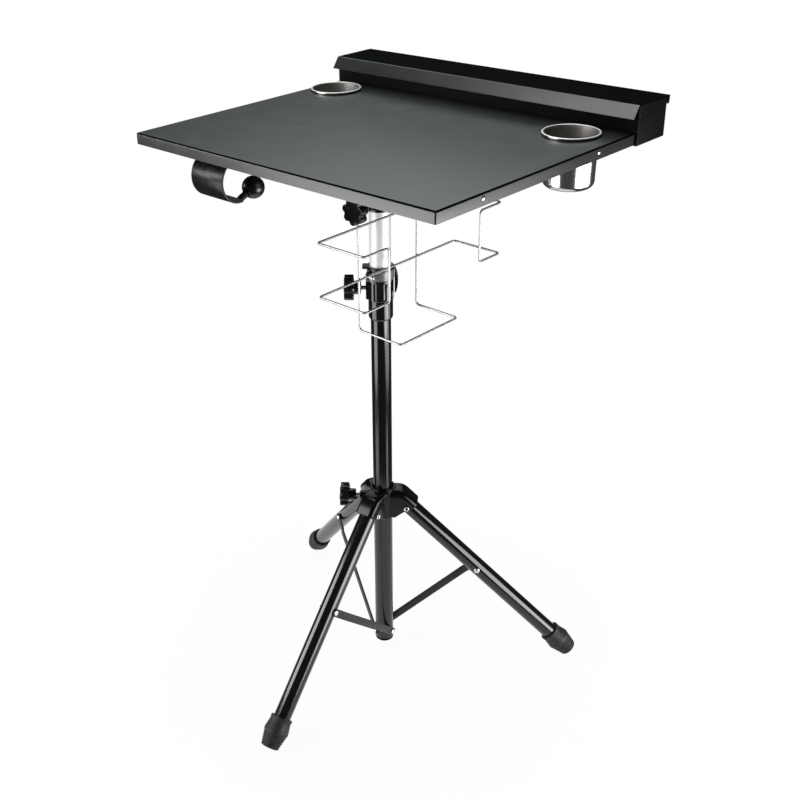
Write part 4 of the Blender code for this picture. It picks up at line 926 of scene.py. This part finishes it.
def make_hub():
    """Casting on the mast: sleeve, three rounded hoods and the knob's boss, whose axis it returns."""
    bottom = PIVOT_HEIGHT - 0.017
    top = PIVOT_HEIGHT + 0.0285
    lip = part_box("hub_casting")[1].z
    lip_round = 0.0018
    foot_edge = 0.0005
    clear = LEG_SWEEP + 0.0006
    hood_round = 0.0072
    neck = [(0.0, bottom), (HUB_RADIUS - foot_edge, bottom), (HUB_RADIUS, bottom + foot_edge)]
    neck += arc((HUB_RADIUS - lip_round, lip - lip_round), lip_round, 0.0, math.pi / 2, 5) + [(0.0, lip)]
    hub = lathe("hub_body", neck, upright())
    roof = LEG_RADIUS + ROOF_GAP + HOOD_WALL
    rise = (PIVOT_HEIGHT + roof * math.sin(LEG_TILT) - top) / math.cos(LEG_TILT)
    brow = leg_point(rise, roof)[0] - HOOD_BROW * math.tan(math.pi / 4 - LEG_TILT / 2)
    hood = [(0.0, bottom), (0.0, top)]
    hood += arc((brow, top - HOOD_BROW), HOOD_BROW, math.pi / 2, LEG_TILT, STEPS)
    hood += [leg_point(CHEEK_RADIUS, roof)]
    hood += arc((PIVOT_RADIUS, PIVOT_HEIGHT), CHEEK_RADIUS, LEG_TILT - math.pi / 2, CHEEK_END, 10)
    hood += [(HUB_RADIUS, bottom)]
    under = LEG_RADIUS + ROOF_GAP
    ceiling = PIVOT_HEIGHT + clear
    wall = PIVOT_RADIUS - clear
    start = (PIVOT_HEIGHT + under * math.sin(LEG_TILT) - ceiling) / math.cos(LEG_TILT)
    beyond = leg_point(CHEEK_RADIUS + LEG_RADIUS, under)
    base = bottom - LEG_RADIUS
    room = [(wall, base), (wall, ceiling), leg_point(start, under), beyond, (beyond[0], base)]
    above = PIVOT_HEIGHT + CHEEK_RADIUS * math.cos(LEG_TILT)
    rooms = []
    for turn in LEG_TURNS.values():
        side = spoke(turn)[1]

        def on_brow(one, other):
            return abs((one - other).dot(side)) < GAP and min(one.z, other.z) > above

        piece = slab("hood", hood, CHEEK_OUTER, turn)
        round_edges(piece, on_brow, hood_round, STEPS)
        soften(piece, 0.0012, 3, 30.0)
        weld(hub, piece)
        rooms.append(slab("room", room, CHEEK_INNER, turn))
    axis = outward(HUB_KNOB_AZIMUTH, HUB_KNOB_HEIGHT)
    weld(hub, drum("hub_boss", HUB_BOSS_RADIUS, MAST_RADIUS, HUB_BOSS_END, axis, BOSS_SIDES))
    for space in rooms:
        carve(hub, space)
    carve(hub, drum("hub_bore", MAST_RADIUS + GAP, bottom - 0.01, top + 0.01, upright()))
    stud_hole(hub, axis, MAST_RADIUS, HUB_BOSS_END)
    soften(hub, 0.0003, 2, 45.0)
    stand_in(hub, "hub_casting", CAST)
    return axis


def foot_profile():
    """Outline of a foot from the middle of its tip up to its neck, with ribs on its taper."""
    tip = FOOT_TIP - GAP
    groove = 0.0009
    profile = [(0.0, 0.0)]
    profile += arc((tip - FOOT_ROUND, FOOT_ROUND), FOOT_ROUND, -math.pi / 2, 0.0, 5)
    slope = (FOOT_BELLY - tip) / (FOOT_BELLY_HEIGHT - FOOT_ROUND)
    pitch = (FOOT_BELLY_HEIGHT - 2 * FOOT_ROUND) / FOOT_RIBS
    for rib in range(FOOT_RIBS):
        for share, dip in ((0.15, 0.0), (0.32, groove), (0.52, groove), (0.69, 0.0)):
            height = FOOT_ROUND + pitch * (rib + share)
            profile.append((tip + slope * (height - FOOT_ROUND) - dip, height))
    neck = LEG_RADIUS + GAP + 0.0034
    profile += [(FOOT_BELLY - 0.0003, FOOT_BELLY_HEIGHT - 0.002), (FOOT_BELLY, FOOT_BELLY_HEIGHT)]
    profile += [(FOOT_BELLY - 0.0004, FOOT_BELLY_HEIGHT + 0.002), (neck - 0.0004, FOOT_LENGTH - 0.0065)]
    profile += [(neck - 0.0006, FOOT_LENGTH - 0.0045), (neck - 0.0002, FOOT_LENGTH - 0.0036)]
    profile += [(neck, FOOT_LENGTH - 0.0030), (neck, FOOT_LENGTH - 0.0006), (neck - 0.0006, FOOT_LENGTH)]
    return profile


def make_leg(name, turn):
    """Leg tube under its hood, the rivets through it, and its worn rubber foot."""
    out, side = spoke(turn)
    pivot = on_mast(PIVOT_HEIGHT) + out * PIVOT_RADIUS
    place = axes(pivot, out * math.cos(LEG_TILT) + UP * math.sin(LEG_TILT), side)
    end = FOOT_FLOOR + GAP - LEG_REACH
    stand_in(tube("leg_pipe_" + name, LEG_RADIUS, TUBE_WALL, end, LEG_TOP, place), "leg_" + name, GLOSS)
    pin = hollow_rivet("pivot_pin_" + name, CHEEK_OUTER + GAP, axes(pivot, UP, out))
    stand_in(pin, "leg_rivet_" + name, ZINC)
    socket = LEG_RADIUS + GAP
    profile = foot_profile() + [(socket, FOOT_LENGTH), (socket, FOOT_FLOOR), (0.0, FOOT_FLOOR)]
    profile = [(radius, height - LEG_REACH) for radius, height in profile]
    foot = lathe("rubber_foot_" + name, profile, place)
    focus(foot)
    mode("EDIT")
    bpy.ops.mesh.select_all(action="SELECT")
    bpy.ops.mesh.bisect(
        plane_co=(0, 0, 0), plane_no=(0, 0, 1), use_fill=True, clear_inner=True, threshold=MERGE)
    stand_in(foot, "foot_" + name, RUBBER)
    along = out * math.sin(LEG_TILT) - UP * math.cos(LEG_TILT)
    spot = axes(pivot + along * BRACE_ALONG, UP, out)
    low = -LEG_RADIUS - GAP
    inside = LEG_RADIUS - TUBE_WALL
    cross = mirrored(dome(RIVET_HEAD, low, RIVET_RISE), low, low)
    cross += [(RIVET_SHANK, low), (RIVET_SHANK, inside), (0.0, inside)]
    stand_in(lathe("cross_pin_" + name, cross, spot, SMALL_SIDES), "leg_cross_rivet_" + name, ZINC)
    inner = LEG_RADIUS + BRACE_SIDE
    outer = inner + BRACE_THICKNESS + GAP
    pin = rivet(
        "brace_pin_" + name, RIVET_SHANK, RIVET_HEAD, RIVET_RISE, inner, outer, spot, False)
    stand_in(pin, "brace_rivet_" + name, ZINC)


def make_brace(name, turn):
    """Flat bar from the mast's plug to the leg, cranked near the leg, with its bolt."""
    out, side = spoke(turn)
    far_out, far_up = leg_point(BRACE_ALONG, 0.0)
    climb = far_up - BRACE_HEIGHT
    length = math.hypot(far_out, climb)
    along = (out * far_out + UP * climb) / length
    across = along.cross(side)
    half = BRACE_WIDTH / 2
    near = MAST_RADIUS + BRACE_SIDE
    crank = MAST_RADIUS - LEG_RADIUS
    crank_length = 0.007
    bend = length - 0.027
    inside = [(-half, near)]
    for step in range(STEPS + 1):
        share = step / STEPS
        inside.append((bend + crank_length * share, near - crank * (1 - math.cos(math.pi * share)) / 2))
    inside.append((length + half, near - crank))
    outside = [(place, level + BRACE_THICKNESS) for place, level in inside[::-1]]
    axis = on_mast(BRACE_HEIGHT)
    place = axes(axis - across * half, along, side)
    bar = pulled("brace_bar_" + name, inside + outside, BRACE_WIDTH, place)

    def end_corner(one, other):
        through = abs((one - other).dot(side)) > BRACE_THICKNESS * 0.9
        return through and not -half + GAP < (one - axis).dot(along) < length + half - GAP

    round_edges(bar, end_corner, half - GAP, STEPS)
    soften(bar, 0.0004, 2, 50.0)
    stand_in(bar, "brace_" + name, BRACE)
    start = 0.006
    seat = near + BRACE_THICKNESS + GAP
    shank = 0.0020
    head = 0.0040
    place = axes(axis, UP, out)
    bolt = rivet("brace_screw_" + name, shank, head, RIVET_RISE, start, seat, place, False)
    stand_in(bolt, "brace_bolt_" + name, ZINC)


def make_hook():
    """Wide bowed strap under the tray's front, with a ball on a short stem."""
    low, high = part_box("hook_strap")
    tray_middle = MAST_Y + 0.045
    bow_out = 0.1935
    bow_drop = 0.047
    centre = (tray_middle - bow_out, TRAY_HIGH.z - bow_drop)
    bow_steps = 40
    outer = arc(centre, HOOK_RADIUS, HOOK_START, HOOK_END, bow_steps)
    inner = arc(centre, HOOK_RADIUS - HOOK_STRAP, HOOK_START, HOOK_END, bow_steps)
    top = high.z
    bend = (outer[0][0] + top - outer[0][1], top)
    fold = (inner[0][0] + top - HOOK_STRAP - inner[0][1], top - HOOK_STRAP)
    tab = bend[0] + 0.022
    outline = outer[::-1] + [bend, (tab, top), (tab, top - HOOK_STRAP), fold] + inner
    strap = pulled("hook_bow", outline, high.x - low.x, sideways((low.x, 0.0, 0.0)))
    soften(strap, 0.0005, 3, 40.0)
    stand_in(strap, "hook_strap", HOOK_BLACK)

    def lower_inside(face):
        behind = centre[0] - face.center.y
        over = centre[1] - face.center.z
        return over > 0 and face.normal.y * behind + face.normal.z * over > HOOK_RADIUS * 0.8

    # Painted reflection: the upward inner faces at the bottom of the bow are painted pale.
    paint(strap, PALE_REFLECTION, lower_inside)
    thread = HOOK_RADIUS - HOOK_STRAP / 2
    rise = math.radians(23)
    across = high.x - 0.008
    tip = (across, centre[0] + thread * math.cos(HOOK_END), centre[1] + thread * math.sin(HOOK_END))
    place = axes(tip, (1, 0, 0), (0, math.sin(rise), -math.cos(rise)))
    start = GAP + HOOK_STRAP / 2 * math.tan(abs(rise - HOOK_END + 1.5 * math.pi))
    stop = start + 0.0115
    edge = 0.0006
    stem = [(0.0, start), (STEM_RADIUS, start), (STEM_RADIUS, stop - edge)]
    stem += [(STEM_RADIUS - edge, stop), (0.0, stop)]
    stand_in(lathe("ball_stem", stem, place, BOSS_SIDES), "hook_stem", HOOK_BLACK)
    sink = math.sqrt(BALL_RADIUS ** 2 - STEM_RADIUS ** 2)
    middle = stop + GAP + sink
    ball = [(0.0, middle - sink)]
    ball += arc((0.0, middle), BALL_RADIUS, -math.acos(STEM_RADIUS / BALL_RADIUS), math.pi / 2, 28)
    stand_in(lathe("black_ball", ball, place), "hook_ball", BALL)


def wire(name, node, corners, closed):
    """Round wire through the corners, each bent on an arc."""
    points = []
    count = len(corners)
    for index, corner in enumerate(corners):
        corner = Vector(corner)
        if not closed and index in (0, count - 1):
            points.append(corner)
            continue
        back = (Vector(corners[index - 1]) - corner).normalized()
        ahead = (Vector(corners[(index + 1) % count]) - corner).normalized()
        centre = corner + (back + ahead) * WIRE_BEND
        for step in range(STEPS + 1):
            turn = step * math.pi / (2 * STEPS)
            inwards = ahead * WIRE_BEND * math.cos(turn)
            points.append(centre - inwards - back * WIRE_BEND * math.sin(turn))
    line(name, points, closed)
    mode("OBJECT")
    bpy.ops.object.convert(target="CURVE")
    curve = bpy.context.active_object
    curve.data.bevel_depth = WIRE_RADIUS
    curve.data.bevel_resolution = 4
    curve.data.use_fill_caps = True
    bpy.ops.object.convert(target="MESH")
    piece = bpy.context.active_object
    focus(piece)
    mode("EDIT")
    tidy_faces()
    settle(piece, upright())
    stand_in(piece, node, WIRE, 50.0)


def make_holder():
    """The closed loop that wraps a carton's two ends, and the stirrup that hangs it from the tray."""
    end_wrap = 0.044
    left = COLLAR_RIM + 0.0145 + WIRE_RADIUS
    right = left + 0.0775
    back = 0.114
    front = back - 0.266
    high = TRAY_HIGH.z - 0.0975
    low = high - 0.071
    gap_back = back - end_wrap
    gap_front = front + end_wrap
    loop = [
        (left, front, high), (left, back, high), (right, back, high), (right, gap_back, high),
        (right, gap_back, low), (right, back, low), (left, back, low), (left, front, low),
        (right, front, low), (right, gap_front, low), (right, gap_front, high), (right, front, high),
    ]
    wire("holder_loop", "carton_loop", loop, True)
    inside = left - 2 * WIRE_RADIUS - GAP
    outside = inside + 0.0713
    shelf = high - 0.143
    behind = SOCKET_HALF_DEPTH + 0.0065 + WIRE_RADIUS
    ahead = behind - 0.114
    foot = behind + 0.024
    top = TRAY_HIGH.z - SHEET - GAP - WIRE_RADIUS
    stirrup = [
        (inside, ahead, high + WIRE_RADIUS), (inside, ahead, shelf), (outside, ahead, shelf),
        (outside, behind, shelf), (inside, behind, shelf), (inside, behind, top), (inside, foot, top),
    ]
    wire("holder_stirrup", "carton_stirrup", stirrup, False)


make_tray()
make_cup("left")
make_cup("right")
make_box()
make_lid()
make_mast()
tray_axis = make_socket()
collar_axis = make_collar()
make_band()
make_knob("tray", tray_axis, POLE_RADIUS + GAP, SOCKET_BOSS_REACH)
make_knob("collar", collar_axis, POLE_RADIUS + GAP, COLLAR_EAR_REACH)
hub_axis = make_hub()
make_knob("hub", hub_axis, MAST_RADIUS + GAP, HUB_BOSS_END)
for leg_name, leg_turn in LEG_TURNS.items():
    make_leg(leg_name, leg_turn)
    make_brace(leg_name, leg_turn)
make_hook()
make_holder()

# CAD solids that show as they are
coat(bpy.data.objects["side_rail_left"], SATIN_AND_LIT_LIP)
coat(bpy.data.objects["side_rail_right"], SATIN_AND_LIT_LIP)
coat(bpy.data.objects["pole_plug"], MOULDED)


def lamp(name, azimuth, elevation, distance, wide, tall, power, height, roll=0.0):
    """Soft panel at an azimuth and elevation from a point on the mast, hidden from the camera."""
    data = bpy.data.lights.new(name, "AREA")
    data.shape = "RECTANGLE"
    data.size = wide
    data.size_y = tall
    data.energy = power
    panel = bpy.data.objects.new(name, data)
    bpy.context.scene.collection.objects.link(panel)
    away = heading(math.radians(azimuth), math.radians(elevation))
    panel.location = on_mast(height) + away * distance
    facing = away.to_track_quat("Z", "Y") @ Quaternion((0.0, 0.0, 1.0), math.radians(roll))
    panel.rotation_euler = facing.to_euler()
    panel.visible_camera = False


def light_stand():
    """Panels that make the bright bands on the tubes, and the light on rims, lip and lid."""
    lamp("left_low_panel", 247, 0, 2.0, wide=1.53, tall=1.19, power=28.2, height=0.025)
    lamp("left_foot_panel", 247, 0, 2.0, wide=1.53, tall=0.58, power=5.6, height=-1.01)
    lamp("left_high_panel", 232.5, 20, 2.0, wide=1.6, tall=0.5, power=22, height=0.5, roll=28)
    lamp("lip_panel", 233, 63, 2.0, wide=0.75, tall=0.75, power=8, height=0.5)
    lamp("right_near_panel", 6.5, 0, 1.107, wide=0.757, tall=0.52, power=9.9, height=0.29)
    lamp("right_far_panel", 24, 0, 2.0, wide=1.82, tall=1.02, power=19.5, height=-0.06)
    lamp("right_foot_panel", 11, 0, 2.0, wide=0.8, tall=0.45, power=2.9, height=-0.945)
    lamp("top_panel", 120, 78, 2.2, wide=1.4, tall=1.4, power=12, height=0.6)


def ray_share(tree, *kinds):
    """1 for a ray of any of the kinds, 0 for others."""
    path = add(tree, "LightPath")
    share = path.outputs[kinds[0]]
    for kind in kinds[1:]:
        share = reckon(tree, "Math", "MAXIMUM", share, path.outputs[kind]).outputs[0]
    return share


def blend(tree, share, first, second, output):
    """Mixes two shaders by a share and ends the tree."""
    mix = tree.nodes.new("ShaderNodeMixShader")
    feed(tree, mix, {0: share, 1: first.outputs[0], 2: second.outputs[0]})
    add(tree, output, Surface=mix.outputs[0])


def make_floor():
    """Small white floor that fades into the white surround."""
    below = -0.0004
    matte_white = (0.80, 0.80, 0.80, 1.0)
    fade_start = FLOOR_RADIUS * 0.5
    fade_end = FLOOR_RADIUS * 0.95
    middle_share = 0.95
    focus(None)
    bpy.ops.mesh.primitive_circle_add(
        vertices=96, radius=FLOOR_RADIUS, fill_type="NGON", location=(0, 0, below))
    floor = bpy.context.active_object
    floor.name = "studio_floor"
    material = bpy.data.materials.new("white_floor")
    material.use_nodes = True
    tree = material.node_tree
    tree.nodes.clear()
    where = add(tree, "TexCoord").outputs["Object"]
    reach = reckon(tree, "VectorMath", "LENGTH", where).outputs["Value"]
    fade = spread(tree, reach, (fade_start, fade_end), (middle_share, 1.0))
    share = ray_share(tree, "Is Camera Ray", "Is Glossy Ray", "Is Transmission Ray")
    seen = reckon(tree, "Math", "MULTIPLY", share, fade).outputs[0]
    matte = add(tree, "BsdfDiffuse", Color=matte_white)
    blend(tree, seen, matte, add(tree, "Emission"), "OutputMaterial")
    floor.data.materials.append(material)


def make_surround():
    """White to the camera; to other rays white behind the stand and dim on the camera's side."""
    bright_side = (-0.4056, 0.4056, 0.8192)
    dim_edge = 0.80
    dim = (0.035, 0.035, 0.035)
    bright_edge = 0.93
    bright = (0.915, 1.0, 1.003)
    strength = 1.75
    world = bpy.data.worlds.new("studio_surround")
    bpy.context.scene.world = world
    world.use_nodes = True
    tree = world.node_tree
    tree.nodes.clear()
    where = add(tree, "TexCoord").outputs["Generated"]
    facing = reckon(tree, "VectorMath", "DOT_PRODUCT", where, bright_side).outputs["Value"]
    colour = tint(tree, facing, (dim_edge, bright_edge), (dim, bright))
    room = add(tree, "Background", Color=colour, Strength=strength)
    white = add(tree, "Background", Color=(1.0, 1.0, 1.0, 1.0))
    share = ray_share(tree, "Is Camera Ray", "Is Transmission Ray")
    blend(tree, share, room, white, "OutputWorld")


def make_camera():
    """Camera solved from the photo: place, turn, lens and shift."""
    place = (MAST_X + 0.9641, MAST_Y - 1.0593, 1.2027)
    yaw = math.radians(135.07)
    pitch = math.radians(-27.45)
    roll = math.radians(-1.93)
    forward = heading(yaw, pitch)
    level = Vector((math.sin(yaw), -math.cos(yaw), 0.0))
    above = level.cross(forward)
    right = level * math.cos(roll) + above * math.sin(roll)
    up = above * math.cos(roll) - level * math.sin(roll)
    lens = bpy.data.cameras.new("photo_camera")
    lens.sensor_width = 36.0
    lens.lens = 50.92
    lens.shift_x = 0.0834
    lens.shift_y = -0.0131
    camera = bpy.data.objects.new("photo_camera", lens)
    bpy.context.scene.collection.objects.link(camera)
    camera.matrix_world = axes(place, right, up)
    bpy.context.scene.camera = camera
    bpy.context.scene.view_settings.view_transform = "Standard"


make_floor()
light_stand()
make_surround()
make_camera()
